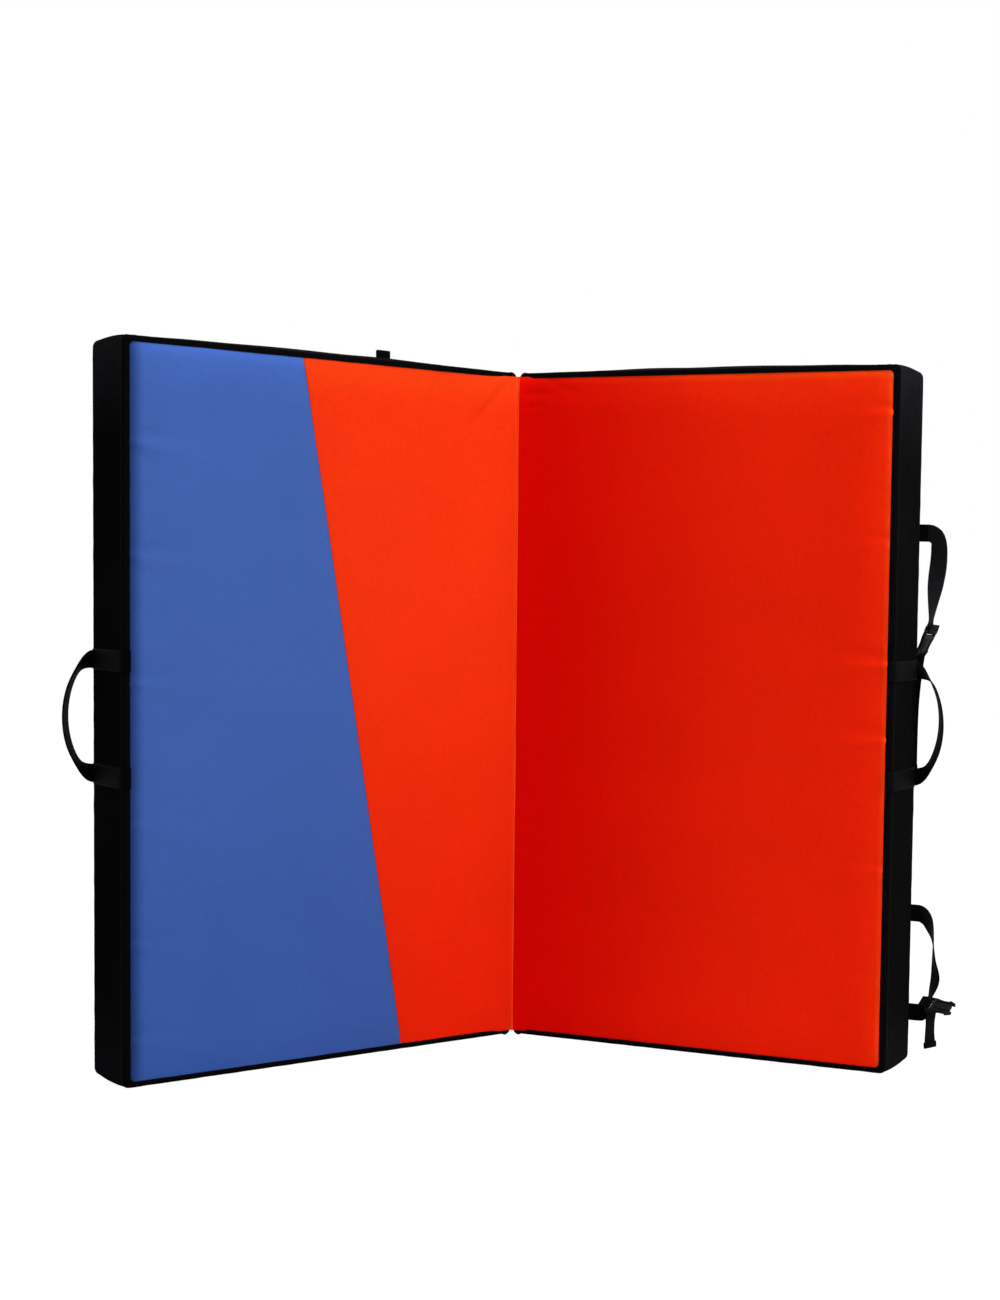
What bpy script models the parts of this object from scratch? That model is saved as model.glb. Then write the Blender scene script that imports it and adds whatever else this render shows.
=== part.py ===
"""Folding bouldering crash pad, standing on end and half open.

Two padded blocks share a seam along one edge of their landing faces. Each block is drawn in its
own frame: x runs from the hinge axis to the outer edge, y from the landing plane to the back,
z up. The left block is drawn the same way and mirrored. All lengths are in metres.
"""
import math

import bmesh
import bpy
from mathutils import Matrix, Vector

# Whole pad
HALF_WIDTH = 0.600
HEIGHT = 1.000
THICKNESS = 0.115
FOLD_ANGLE = math.radians(118.0)

# The pad's centre lies this far from the fold, towards the side where the straps stand out
CENTRE_SHIFT = 0.013

# Clearances
GAP = 0.0003
FACE_CLEAR = 0.0003
HINGE_CLEAR = 0.0004

# Cover: fabric with its lining
SKIN = 0.0016
OUTER_CORNER = 0.010
HINGE_CORNER = 0.010
BINDING_RADIUS = 0.006
FACE_CROWN = 0.0015
FACE_EDGE_DROP = 0.005
FACE_ROLL = 0.035
HINGE_SEAM_RADIUS = 0.0015

# Foam layers, front to back; the core fills what is left
FOAM_TOP = 0.020
FOAM_BASE = 0.015

# Slanted seam of the left landing face, measured from the hinge
SEAM_AT_TOP = 0.346
SEAM_AT_BOTTOM = 0.184

# Webbing; a loop that swings starts thinner, a little beyond the piece that it is sewn to
WEB_WIDTH = 0.025
WEB_THICK = 0.002
WEB_END_THICK = 0.0016
SWING_GAP = 0.00095

# Grab handles on the outer walls
HANDLE_SPAN = 0.155
HANDLE_UNDER_MIDDLE = 0.0055
HANDLE_REACH = 0.041
HANDLE_PATCH_TALL = 0.032
HANDLE_FROM_BACK = 0.012
HANDLE_HIGH_TWIST = {"right": math.radians(22.0), "left": math.radians(38.0)}
HANDLE_LOW_TWIST = {"right": math.radians(45.0), "left": math.radians(40.0)}
HANDLE_TWIST_share = 1.6

# Closing straps at the rear outer edge of the right block
UPPER_STRAP_DROP = 0.2305
LOWER_STRAP_RISE = 0.2165
RETURN_TAB_RISE = 0.0705
STRAP_PATCH_LONG = 0.085
STRAP_LIP = 0.010
UPPER_LOOP_TALL = 0.137
UPPER_LOOP_REACH = 0.017
UPPER_LOOP_DRIFT = 0.012
UPPER_TAIL_TALL = 0.166
UPPER_TAIL_REACH = 0.012
LOWER_LOOP_TALL = 0.1245
LOWER_LOOP_REACH = 0.028
RETURN_TAB_LIP = 0.018
LOWER_TAIL_TALL = 0.057
LOWER_TAIL_REACH = 0.022
STRAP_BUCKLE_LONG = 0.040
STRAP_BUCKLE_WIDE = 0.027
STRAP_BUCKLE_THICK = 0.005
STRAP_BUCKLE_RIM = 0.004
STRAP_BUCKLE_SLOT = 0.006
STRAP_BUCKLE_GUIDE = 0.005
UPPER_BUCKLE_OUT = 0.004
UPPER_BUCKLE_BELOW = 0.141
UPPER_BUCKLE_LEAN = math.radians(24.0)
UPPER_BUCKLE_TURN = math.radians(80.0)
LOWER_BUCKLE_OUT = 0.016
LOWER_BUCKLE_BELOW = 0.1325
LOWER_BUCKLE_LEAN = math.radians(-84.0)
LOWER_BUCKLE_TURN = math.radians(66.0)

# Buckle receivers on the back of the left block
RECEIVER_LONG = 0.052
RECEIVER_WIDE = 0.034
RECEIVER_THICK = 0.012
RECEIVER_WALL = 0.0025
RECEIVER_NECK_LONG = 0.014
RECEIVER_FROM_EDGE = 0.016

# Shoulder straps on the back of the left block
SHOULDER_SPACING = 0.170
SHOULDER_TOP_DROP = 0.130
SHOULDER_LONG = 0.430
SHOULDER_WIDE = 0.065
SHOULDER_THICK = 0.014
SHOULDER_STAND_OFF = 0.045
SHOULDER_NECK_LONG = 0.030
SHOULDER_NECK_WIDE = 0.038
SHOULDER_FOOT_RISE = 0.110
ANCHOR_WIDE = 0.048
ANCHOR_TALL = 0.060
LADDER_LOCK_TALL = 0.030
LADDER_LOCK_WIDE = 0.034
LADDER_LOCK_THICK = 0.005
LADDER_LOCK_RIM = 0.004

# Foam zips on the backs, close to the hinge
ZIP_FROM_HINGE = 0.030
ZIP_END_MARGIN = 0.050
ZIP_TAPE_WIDE = 0.030
ZIP_TAPE_THICK = 0.0008
ZIP_COIL_WIDE = 0.006
ZIP_COIL_TALL = 0.0014
SLIDER_WIDE = 0.012
SLIDER_TALL = 0.016
SLIDER_ROOF = 0.0022
SLIDER_FROM_END = 0.008
PULL_WIDE = 0.007
PULL_LONG = 0.030
PULL_THICK = 0.0014
PULL_HOLE = 0.0032

# Small webbing tab above the rear top edge of the left block
TAB_FROM_HINGE = 0.169
TAB_WIDE = 0.022
TAB_TALL = 0.025
TAB_THICK = 0.004
TAB_FROM_BACK = 0.012

# Facets
SMOOTH_UNDER = math.radians(30.0)
CORNER_STEPS = 3
ROUND_SIDES = 12

# Places worked out from the sizes above
EDGE_DEPTH = FACE_CLEAR + FACE_EDGE_DROP
PANEL_BACK = EDGE_DEPTH + SKIN
BINDING_INSET = GAP + BINDING_RADIUS
PANEL_INSET = BINDING_INSET + GAP
WALL_FRONT = EDGE_DEPTH + BINDING_RADIUS + GAP
WALL_BACK = THICKNESS - BINDING_RADIUS - GAP
FOAM_INSET = SKIN + GAP + GAP
SURFACE = GAP + WEB_THICK
COIL_TOP = GAP + ZIP_TAPE_THICK + ZIP_COIL_TALL
LEAN = (math.pi - FOLD_ANGLE) / 2
HINGE_BACK = (HALF_WIDTH * math.sin(LEAN) - THICKNESS * math.cos(LEAN)) / 2

# Colours are linear; the last two values are roughness and metallic
LOOKS = {
    "orange_fabric": ((0.91, 0.045, 0.008), 0.62, 0.0),
    "blue_fabric": ((0.048, 0.127, 0.413), 0.62, 0.0),
    "black_fabric": ((0.008, 0.008, 0.009), 0.80, 0.0),
    "black_webbing": ((0.010, 0.010, 0.011), 0.70, 0.0),
    "black_plastic": ((0.012, 0.012, 0.013), 0.35, 0.0),
    "zip_metal": ((0.55, 0.55, 0.56), 0.30, 1.0),
    "soft_foam": ((0.80, 0.78, 0.62), 0.90, 0.0),
    "firm_foam": ((0.05, 0.05, 0.055), 0.85, 0.0),
}

# How webbing hangs, row by row: out, back and down as shares of its reach, drift and height, then
# its width's tilt from upright and its turn from outward to rearward, as shares of a quarter turn
UPPER_LOOP_shares = (
    (0.00, 0.00, 0.000, 0.00, 0.0),
    (0.38, 0.02, 0.008, 0.14, 0.0),
    (0.78, 0.05, 0.045, 0.44, 0.0),
    (0.95, 0.10, 0.105, 0.72, 0.0),
    (1.00, 0.18, 0.190, 0.94, 0.0),
    (0.92, 0.32, 0.330, 1.00, 0.12),
    (0.70, 0.52, 0.510, 1.00, 0.4),
    (0.44, 0.75, 0.730, 1.00, 0.8),
    (0.24, 0.95, 0.920, 1.00, 1.05),
    (0.22, 1.00, 1.000, 1.00, 0.95),
)
UPPER_TAIL_shares = (
    (-1.35, 1.00, 0.00, 1.00, 0.3),
    (-1.60, 0.85, 0.14, 1.00, 0.1),
    (-1.75, 0.30, 0.42, 1.00, 0.0),
    (-1.80, 0.15, 0.70, 1.00, 0.0),
    (-1.80, 0.15, 1.00, 1.00, 0.0),
)
LOWER_LOOP_shares = (
    (0.00, 0.0, 0.00, 0.00, 0.9),
    (0.30, 0.0, 0.03, 0.22, 0.9),
    (0.58, 0.0, 0.12, 0.62, 0.95),
    (0.78, 0.0, 0.29, 1.00, 1.15),
    (0.86, 0.0, 0.52, 1.00, 1.3),
    (0.94, 0.0, 0.79, 1.00, 1.52),
    (0.90, 0.0, 1.00, 1.00, 1.45),
)
LOWER_TAIL_shares = (
    (1.00, 0.0, 0.00, 1.00, 0.75),
    (0.95, 0.0, 0.35, 1.00, 0.86),
    (0.93, 0.0, 0.70, 1.00, 0.84),
    (0.98, 0.0, 1.00, 1.00, 0.75),
)
FACE_GRID_shares = (0.0, 0.012, 0.035, 0.075, 0.17, 0.34, 0.5, 0.66, 0.83, 0.925, 0.965, 0.988, 1.0)
# An eight-sided section of a padded strap: the share of half its thickness left at the sides
PAD_SIDE_share = 0.4
SHOULDER_shares = (
    (0.0, 0.0),
    (0.12, 0.25),
    (0.3, 0.72),
    (0.5, 1.0),
    (0.7, 0.95),
    (0.88, 0.62),
    (1.0, 0.42),
)


def clear_scene():
    for thing in list(bpy.data.objects):
        bpy.data.objects.remove(thing, do_unlink=True)


def material(name):
    """One Principled material for each look, made once."""
    known = bpy.data.materials.get(name)
    if known:
        return known
    colour, roughness, metallic = LOOKS[name]
    made = bpy.data.materials.new(name)
    made.use_nodes = True
    shader = made.node_tree.nodes["Principled BSDF"]
    shader.inputs["Base Color"].default_value = (*colour, 1.0)
    shader.inputs["Roughness"].default_value = roughness
    shader.inputs["Metallic"].default_value = metallic
    made.diffuse_color = (*colour, 1.0)
    return made


class Block:
    """One half of the pad: the frame that carries it, its side and its name."""

    def __init__(self, name, side, frame):
        self.name = name
        self.side = side
        self.frame = frame

    def add(self, part, shape, look, at=(0.0, 0.0, 0.0)):
        """Make one named piece from (points, faces); its origin goes to the point at."""
        points, faces = shape
        origin = Vector((at[0] * self.side, at[1], at[2]))
        mesh = bpy.data.meshes.new(f"{self.name}_{part}")
        placed = [Vector((p[0] * self.side, p[1], p[2])) - origin for p in points]
        mesh.from_pydata(placed, [], faces)
        work = bmesh.new()
        work.from_mesh(mesh)
        bmesh.ops.recalc_face_normals(work, faces=work.faces)
        work.to_mesh(mesh)
        work.free()
        mesh.shade_smooth()
        mesh.set_sharp_from_angle(angle=SMOOTH_UNDER)
        mesh.materials.append(material(look))
        piece = bpy.data.objects.new(f"{self.name}_{part}", mesh)
        bpy.context.scene.collection.objects.link(piece)
        piece.parent = self.frame
        piece.location = origin
        return piece


def empty(name, parent=None, at=(0.0, 0.0, 0.0), turn=0.0):
    made = bpy.data.objects.new(name, None)
    bpy.context.scene.collection.objects.link(made)
    made.parent = parent
    made.location = at
    made.rotation_euler = (0.0, 0.0, turn)
    return made


def loft(loops, closed=False):
    """Skin equal loops of points into one closed body, capped unless the row itself closes."""
    count = len(loops[0])
    points = [p for loop in loops for p in loop]
    rows = len(loops)
    faces = []
    for row in range(rows if closed else rows - 1):
        here = row * count
        there = (row + 1) % rows * count
        for k in range(count):
            follow = (k + 1) % count
            faces.append((here + k, here + follow, there + follow, there + k))
    if not closed:
        faces.append(tuple(range(count)))
        faces.append(tuple(range((rows - 1) * count, rows * count)))
    return points, faces


def prism(drawn, place_low, place_high):
    """Extrude a flat drawing; the two functions place its points on the two end faces."""
    return loft([[place_low(p) for p in drawn], [place_high(p) for p in drawn]])


def box(x, y, z):
    low = [(x[0], y[0], z[0]), (x[1], y[0], z[0]), (x[1], y[1], z[0]), (x[0], y[1], z[0])]
    high = [(p[0], p[1], z[1]) for p in low]
    return loft([low, high])


def upright(drawn, z):
    """Extrude a drawing in x and y between two heights."""
    return prism(drawn, lambda p: (p[0], p[1], z[0]), lambda p: (p[0], p[1], z[1]))


def through(drawn, y):
    """Extrude a drawing in x and z through the pad's thickness."""
    return prism(drawn, lambda p: (p[0], y[0], p[1]), lambda p: (p[0], y[1], p[1]))


def arc(centre, radius, start, end, steps=CORNER_STEPS):
    turns = [start + (end - start) * k / steps for k in range(steps + 1)]
    return [(centre[0] + radius * math.cos(t), centre[1] + radius * math.sin(t)) for t in turns]


def corner_arc(which, inset):
    """A rounded corner of the block's outline in x and z, drawn clockwise from the hinge top."""
    right = which in (1, 2)
    up = which in (0, 1)
    corner = OUTER_CORNER if right else HINGE_CORNER
    x = HALF_WIDTH - corner if right else HINGE_CLEAR + corner
    z = HEIGHT - corner if up else corner
    start = math.pi - which * math.pi / 2
    return arc((x, z), corner - inset, start, start - math.pi / 2)


def outline(inset):
    """The block's whole outline, drawn in by inset."""
    return [p for which in range(4) for p in inset_corner(which, inset)]


def inset_corner(which, inset):
    """A corner drawn in by inset, square where the inset is deeper than its rounding."""
    corner = OUTER_CORNER if which in (1, 2) else HINGE_CORNER
    if inset < corner:
        return corner_arc(which, inset)
    x = HALF_WIDTH - inset if which in (1, 2) else HINGE_CLEAR + inset
    z = HEIGHT - inset if which in (0, 1) else inset
    return [(x, z)] * (CORNER_STEPS + 1)


def edge_strip(corners):
    """A strip of cover that runs round two corners of the outline."""
    outer = [p for which in corners for p in corner_arc(which, 0.0)]
    inner = [p for which in corners for p in corner_arc(which, SKIN)]
    return outer + inner[::-1]


def quarter_profile(depth):
    """Folded binding in section: pairs of inset from the edge and depth behind the front."""
    turns = [math.pi / 2 * k / CORNER_STEPS for k in range(CORNER_STEPS + 1)]
    section = []
    for radius, order in ((BINDING_RADIUS, turns), (BINDING_RADIUS - SKIN, turns[::-1])):
        for t in order:
            inset = BINDING_INSET - radius * math.sin(t)
            section.append((inset, depth + BINDING_RADIUS - radius * math.cos(t)))
    return section


def binding(depth, place_y, open_at_hinge):
    """The binding round a face: all four sides, or three and open along the hinge."""
    rows = []
    if open_at_hinge:
        start = HINGE_CLEAR + HINGE_CORNER + GAP
        rows.append(((start, HEIGHT), (0.0, 1.0)))
    corners = (1, 2) if open_at_hinge else range(4)
    for which in corners:
        first = math.pi - which * math.pi / 2
        for k, p in enumerate(corner_arc(which, 0.0)):
            t = first - math.pi / 2 * k / CORNER_STEPS
            rows.append((p, (math.cos(t), math.sin(t))))
    if open_at_hinge:
        rows.append(((start, 0.0), (0.0, -1.0)))
    loops = []
    for p, n in rows:
        loop = [(p[0] - n[0] * a, place_y(y), p[1] - n[1] * a) for a, y in quarter_profile(depth)]
        loops.append(loop)
    return loft(loops, closed=not open_at_hinge)


def face_depth(x, z):
    """How far the landing face lies behind the hinge plane: a low crown with rolled edges."""
    across = 2 * x / HALF_WIDTH - 1
    up = 2 * z / HEIGHT - 1
    crown = FACE_CROWN * (1 - (1 - across ** 2) * (1 - up ** 2))
    flat = 1.0
    for distance in (HALF_WIDTH - x - PANEL_INSET, HEIGHT - z - PANEL_INSET, z - PANEL_INSET):
        share = min(1.0, max(0.0, 1 - distance / FACE_ROLL))
        flat *= math.sqrt(1 - share ** 2)
    return FACE_CLEAR + crown + (FACE_EDGE_DROP - FACE_CROWN) * (1 - flat)


def seam_line(z):
    return SEAM_AT_BOTTOM + (SEAM_AT_TOP - SEAM_AT_BOTTOM) * z / HEIGHT


def corner_cut(x):
    """How much shorter a landing panel is at its two upright edges, to clear the round corners."""
    if x < hinge_x(0.0) + GAP:
        return max(0.0, HINGE_CORNER - PANEL_INSET) + GAP
    if x > outer_x(0.0) - GAP:
        return max(0.0, OUTER_CORNER - PANEL_INSET) + GAP
    return 0.0


def face_panel(inner, outer):
    """A crowned landing panel between two edges, each given as a function of height."""
    low = PANEL_INSET
    high = HEIGHT - PANEL_INSET
    front = []
    for v in FACE_GRID_shares:
        z_line = low + (high - low) * v
        for u in FACE_GRID_shares:
            x = inner(z_line) + (outer(z_line) - inner(z_line)) * u
            cut = corner_cut(x)
            z = low + cut + (high - low - cut - cut) * v
            front.append((x, face_depth(x, z), z))
    back = [(p[0], PANEL_BACK, p[2]) for p in front]
    side = len(FACE_GRID_shares)
    total = side * side
    faces = []
    for r in range(side - 1):
        for c in range(side - 1):
            a = r * side + c
            quad = (a, a + 1, a + side + 1, a + side)
            faces.append(quad)
            faces.append(tuple(total + k for k in reversed(quad)))
    rim = list(range(side))
    rim += [r * side + side - 1 for r in range(1, side)]
    rim += [total - 1 - c for c in range(1, side)]
    rim += [r * side for r in range(side - 2, 0, -1)]
    for k, a in enumerate(rim):
        b = rim[(k + 1) % len(rim)]
        faces.append((a, b, total + b, total + a))
    return front + back, faces


def slab(front, back, front_cut, back_cut):
    """A foam layer; a cut edge keeps clear of the folded bindings."""
    chamfer = BINDING_RADIUS - SKIN - GAP
    rows = []
    if front_cut:
        rows.append((BINDING_INSET, front))
    rows.append((FOAM_INSET, front + chamfer if front_cut else front))
    rows.append((FOAM_INSET, back - chamfer if back_cut else back))
    if back_cut:
        rows.append((BINDING_INSET, back))
    return loft([[(p[0], y, p[1]) for p in outline(inset)] for inset, y in rows])


def ribbon(path):
    """Webbing along a path of (centre, width direction, width, thickness)."""
    loops = []
    count = len(path)
    for k, (centre, across, width, thick) in enumerate(path):
        ahead = Vector(path[min(k + 1, count - 1)][0]) - Vector(path[max(k - 1, 0)][0])
        wide = Vector(across).normalized() * width / 2
        deep = ahead.cross(wide).normalized() * thick / 2
        middle = Vector(centre)
        signs = ((-1, -1), (1, -1), (1, 1), (-1, 1))
        loops.append([tuple(middle + s * wide + t * deep) for s, t in signs])
    return loft(loops)


def plate_with_slots(x_cuts, z_cuts, holes, thick):
    """A flat plate of cells in x and z around y zero, with some cells left open."""
    cells = {(i, j) for i in range(len(x_cuts) - 1) for j in range(len(z_cuts) - 1)} - set(holes)
    points = []
    index = {}
    faces = []

    def corner(i, j, layer):
        key = (i, j, layer)
        if key not in index:
            index[key] = len(points)
            points.append((x_cuts[i], thick * (layer - 1 / 2), z_cuts[j]))
        return index[key]

    for i, j in cells:
        square = ((i, j), (i + 1, j), (i + 1, j + 1), (i, j + 1))
        faces.append(tuple(corner(*s, 0) for s in square))
        faces.append(tuple(corner(*s, 1) for s in reversed(square)))
        beyond = ((i, j - 1), (i + 1, j), (i, j + 1), (i - 1, j))
        for k, cell in enumerate(beyond):
            if cell not in cells:
                a, b = square[k], square[(k + 1) % 4]
                faces.append((corner(*a, 0), corner(*a, 1), corner(*b, 1), corner(*b, 0)))
    return points, faces


def moved(shape, place):
    """A shape with every point placed by a matrix."""
    points, faces = shape
    return [tuple(place @ Vector(p)) for p in points], faces


def ladder_plate(wide, tall, thick, rim):
    """A webbing buckle: a frame with two slots and a bar between them."""
    x_cuts = (-wide / 2, rim - wide / 2, wide / 2 - rim, wide / 2)
    z_cuts = (-tall / 2, rim - tall / 2, -rim / 2, rim / 2, tall / 2 - rim, tall / 2)
    return plate_with_slots(x_cuts, z_cuts, ((1, 1), (1, 3)), thick)


def hinge_x(z):
    return HINGE_CLEAR + SKIN + GAP


def outer_x(z):
    return HALF_WIDTH - PANEL_INSET


def add_foam(block):
    front = PANEL_BACK + GAP
    back = THICKNESS - SKIN - GAP
    block.add("foam_top", slab(front, front + FOAM_TOP, True, False), "firm_foam")
    core_front = front + FOAM_TOP + GAP
    core_back = back - FOAM_BASE - GAP
    block.add("foam_core", slab(core_front, core_back, False, False), "soft_foam")
    block.add("foam_base", slab(back - FOAM_BASE, back, False, True), "firm_foam")


def add_cover(block):
    depth = (WALL_FRONT, WALL_BACK)
    across = (HINGE_CLEAR + HINGE_CORNER + GAP, HALF_WIDTH - OUTER_CORNER - GAP)
    block.add("outer_wall", through(edge_strip((1, 2)), depth), "black_fabric")
    seam_clear = HINGE_SEAM_RADIUS + GAP
    block.add("hinge_wall", through(edge_strip((3, 0)), (seam_clear, WALL_BACK)), "black_fabric")
    block.add("top_wall", box(across, depth, (HEIGHT - SKIN, HEIGHT)), "black_fabric")
    block.add("bottom_wall", box(across, depth, (0.0, SKIN)), "black_fabric")
    panel = through(outline(PANEL_INSET), (THICKNESS - SKIN, THICKNESS))
    block.add("back_panel", panel, "black_fabric")
    block.add("front_binding", binding(EDGE_DEPTH, lambda y: y, True), "black_fabric")
    block.add("rear_binding", binding(0.0, lambda y: THICKNESS - y, False), "black_fabric")


def add_landing(block, two_colours):
    if not two_colours:
        block.add("landing_panel", face_panel(hinge_x, outer_x), "orange_fabric")
        return
    inner = face_panel(hinge_x, lambda z: seam_line(z) - GAP / 2)
    block.add("landing_orange", inner, "orange_fabric")
    outer = face_panel(lambda z: seam_line(z) + GAP / 2, outer_x)
    block.add("landing_blue", outer, "blue_fabric")


def add_zip(block):
    low = ZIP_END_MARGIN
    high = HEIGHT - ZIP_END_MARGIN
    tape = THICKNESS + GAP
    tape_top = tape + ZIP_TAPE_THICK
    coil_top = THICKNESS + COIL_TOP
    half_tape = ZIP_TAPE_WIDE / 2
    half_coil = ZIP_COIL_WIDE / 2
    side = [(half_tape, tape), (half_tape, tape_top), (half_coil, tape_top), (half_coil, coil_top)]
    section = side + [(-x, y) for x, y in side[::-1]]
    section = [(ZIP_FROM_HINGE + x, y) for x, y in section]
    block.add("zip_tape", upright(section, (low, high)), "black_webbing")

    foot = tape_top + GAP
    ceiling = coil_top + GAP
    roof = ceiling + SLIDER_ROOF
    half = SLIDER_WIDE / 2
    groove = half_coil + GAP + GAP
    section = [(-half, foot), (-half, roof), (half, roof), (half, foot)]
    section += [(groove, foot), (groove, ceiling), (-groove, ceiling), (-groove, foot)]
    section = [(ZIP_FROM_HINGE + x, y) for x, y in section]
    start = low + SLIDER_FROM_END
    axis_z = start + SLIDER_TALL / 2
    slider = upright(section, (start, start + SLIDER_TALL))
    block.add("zip_slider", slider, "zip_metal", (ZIP_FROM_HINGE, roof, axis_z))

    x_cuts = (-PULL_WIDE / 2, -PULL_HOLE / 2, PULL_HOLE / 2, PULL_WIDE / 2)
    hole_low = PULL_HOLE - PULL_LONG
    z_cuts = (-PULL_LONG, hole_low, hole_low + PULL_HOLE, 0.0)
    pull = plate_with_slots(x_cuts, z_cuts, ((1, 1),), PULL_THICK)
    pull_y = roof + GAP + PULL_THICK / 2
    at = (ZIP_FROM_HINGE, pull_y, axis_z)
    block.add("zip_pull", moved(pull, Matrix.Translation(at)), "zip_metal", at)


def add_handle(block):
    """Two sewn patches across the outer wall and the loop that leaves them at the rear edge."""
    leave_y = THICKNESS - HANDLE_FROM_BACK
    face = (HALF_WIDTH + GAP, HALF_WIDTH + GAP + WEB_THICK)
    middle = HEIGHT / 2 - HANDLE_UNDER_MIDDLE
    for name, sign in (("top", 1), ("bottom", -1)):
        z = middle + sign * HANDLE_SPAN / 2
        band = (z - HANDLE_PATCH_TALL / 2, z + HANDLE_PATCH_TALL / 2)
        patch = box(face, (WALL_FRONT, leave_y + WEB_THICK / 2), band)
        block.add(f"handle_patch_{name}", patch, "black_webbing")
    axis = (face[1] + GAP + GAP, leave_y, middle)
    swell = HANDLE_REACH - SURFACE - GAP - GAP
    high_twist = HANDLE_HIGH_TWIST[block.name]
    low_twist = HANDLE_LOW_TWIST[block.name]
    path = []
    for k in range(ROUND_SIDES + 1):
        turn = math.pi * (k / ROUND_SIDES - 1 / 2)
        twist = high_twist + (low_twist - high_twist) * (1 - math.sin(turn)) / 2
        level = Vector((-math.sin(twist), math.cos(twist), 0.0))
        out = swell * math.cos(turn)
        z = middle + HANDLE_SPAN / 2 * math.sin(turn)
        tilt = math.pi / 2 * min(1.0, HANDLE_TWIST_share * math.cos(turn))
        sense = -1.0 if turn > 0 and block.name == "left" else 1.0
        across = level * math.sin(tilt) + Vector((0.0, 0.0, sense * math.cos(tilt)))
        thick = WEB_END_THICK if k in (0, ROUND_SIDES) else WEB_THICK
        path.append(((axis[0] + out, leave_y, z), across, WEB_WIDTH, thick))
    for end, place in ((path[0], 1), (path[-1], -1)):
        x, y, z = end[0]
        path.insert(place, ((x + WEB_THICK, y, z), *end[1:]))
    block.add("handle_loop", ribbon(path), "black_webbing", axis)


def strap_axis():
    """Where the closing straps turn: a little beyond the ends of their sewn tabs."""
    return HALF_WIDTH + STRAP_LIP, THICKNESS + GAP + WEB_THICK / 2


def strap_patch(z, lip=STRAP_LIP - SWING_GAP):
    """Webbing sewn across the back, whose end stands out past the rear outer edge."""
    across = (HALF_WIDTH - STRAP_PATCH_LONG, HALF_WIDTH + lip)
    depth = (THICKNESS + GAP, THICKNESS + GAP + WEB_THICK)
    return box(across, depth, (z - WEB_WIDTH / 2, z + WEB_WIDTH / 2))


def hanging_web(start, spans, shares, thin_start):
    """Webbing from a start point; spans are its reach, its drift to the back and its height."""
    path = []
    for k, (out, back, down, tilt, turn) in enumerate(shares):
        centre = (start[0] + spans[0] * out, start[1] + spans[1] * back, start[2] - spans[2] * down)
        lean = tilt * math.pi / 2
        swing = turn * math.pi / 2
        across = (math.sin(lean) * math.cos(swing), math.sin(lean) * math.sin(swing), math.cos(lean))
        thick = WEB_END_THICK if thin_start and k == 0 else WEB_THICK
        path.append((centre, across, WEB_WIDTH, thick))
    return ribbon(path)


def prong_plate():
    """The plugging half of a buckle, strap end at z zero: slot, bar, two prongs and a guide."""
    half = STRAP_BUCKLE_WIDE / 2
    guide = STRAP_BUCKLE_GUIDE / 2
    x_cuts = (-half, STRAP_BUCKLE_RIM - half, -guide, guide, half - STRAP_BUCKLE_RIM, half)
    slot_end = STRAP_BUCKLE_RIM + STRAP_BUCKLE_SLOT
    bar_end = slot_end + STRAP_BUCKLE_RIM
    z_cuts = (-STRAP_BUCKLE_LONG, -bar_end, -slot_end, -STRAP_BUCKLE_RIM, 0.0)
    holes = ((1, 0), (3, 0), (1, 2), (2, 2), (3, 2))
    return plate_with_slots(x_cuts, z_cuts, holes, STRAP_BUCKLE_THICK)


def place_buckle(at, lean, turn):
    """Where a buckle goes: strap end at a point, leaning in the strap's plane and turned."""
    return Matrix.Translation(at) @ Matrix.Rotation(lean, 4, "Y") @ Matrix.Rotation(turn, 4, "Z")


def add_closing_straps(block):
    x, y = strap_axis()
    z = HEIGHT - UPPER_STRAP_DROP
    axis = (x, y, z)
    block.add("upper_strap_anchor", strap_patch(z), "black_webbing")
    spans = (UPPER_LOOP_REACH, UPPER_LOOP_DRIFT, UPPER_LOOP_TALL)
    block.add("upper_strap", hanging_web(axis, spans, UPPER_LOOP_shares, True), "black_webbing", axis)
    centre = (x + UPPER_BUCKLE_OUT, y + UPPER_LOOP_DRIFT, z - UPPER_BUCKLE_BELOW)
    place = place_buckle(centre, UPPER_BUCKLE_LEAN, UPPER_BUCKLE_TURN)
    block.add("upper_strap_buckle", moved(prong_plate(), place), "black_plastic", axis)
    buckle_fall = STRAP_BUCKLE_LONG * math.cos(UPPER_BUCKLE_LEAN)
    under = (x, y, z - UPPER_BUCKLE_BELOW - buckle_fall - WEB_THICK)
    spans = (UPPER_TAIL_REACH, UPPER_LOOP_DRIFT, UPPER_TAIL_TALL)
    tail = hanging_web(under, spans, UPPER_TAIL_shares, False)
    block.add("upper_strap_tail", tail, "black_webbing", axis)

    z = LOWER_STRAP_RISE
    axis = (x, y, z)
    block.add("lower_strap_anchor", strap_patch(z), "black_webbing")
    block.add("lower_strap_return_tab", strap_patch(RETURN_TAB_RISE, RETURN_TAB_LIP), "black_webbing")
    spans = (LOWER_LOOP_REACH, 0.0, LOWER_LOOP_TALL)
    block.add("lower_strap", hanging_web(axis, spans, LOWER_LOOP_shares, True), "black_webbing", axis)
    centre = (x + LOWER_BUCKLE_OUT, y, z - LOWER_BUCKLE_BELOW)
    place = place_buckle(centre, LOWER_BUCKLE_LEAN, LOWER_BUCKLE_TURN)
    block.add("lower_strap_buckle", moved(prong_plate(), place), "black_plastic", axis)
    buckle_half_wide = STRAP_BUCKLE_WIDE / 2 * math.cos(LOWER_BUCKLE_TURN)
    under = (x, y, centre[2] - buckle_half_wide - STRAP_BUCKLE_THICK / 2 - GAP)
    spans = (LOWER_TAIL_REACH, 0.0, LOWER_TAIL_TALL)
    tail = hanging_web(under, spans, LOWER_TAIL_shares, False)
    block.add("lower_strap_tail", tail, "black_webbing", axis)


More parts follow.
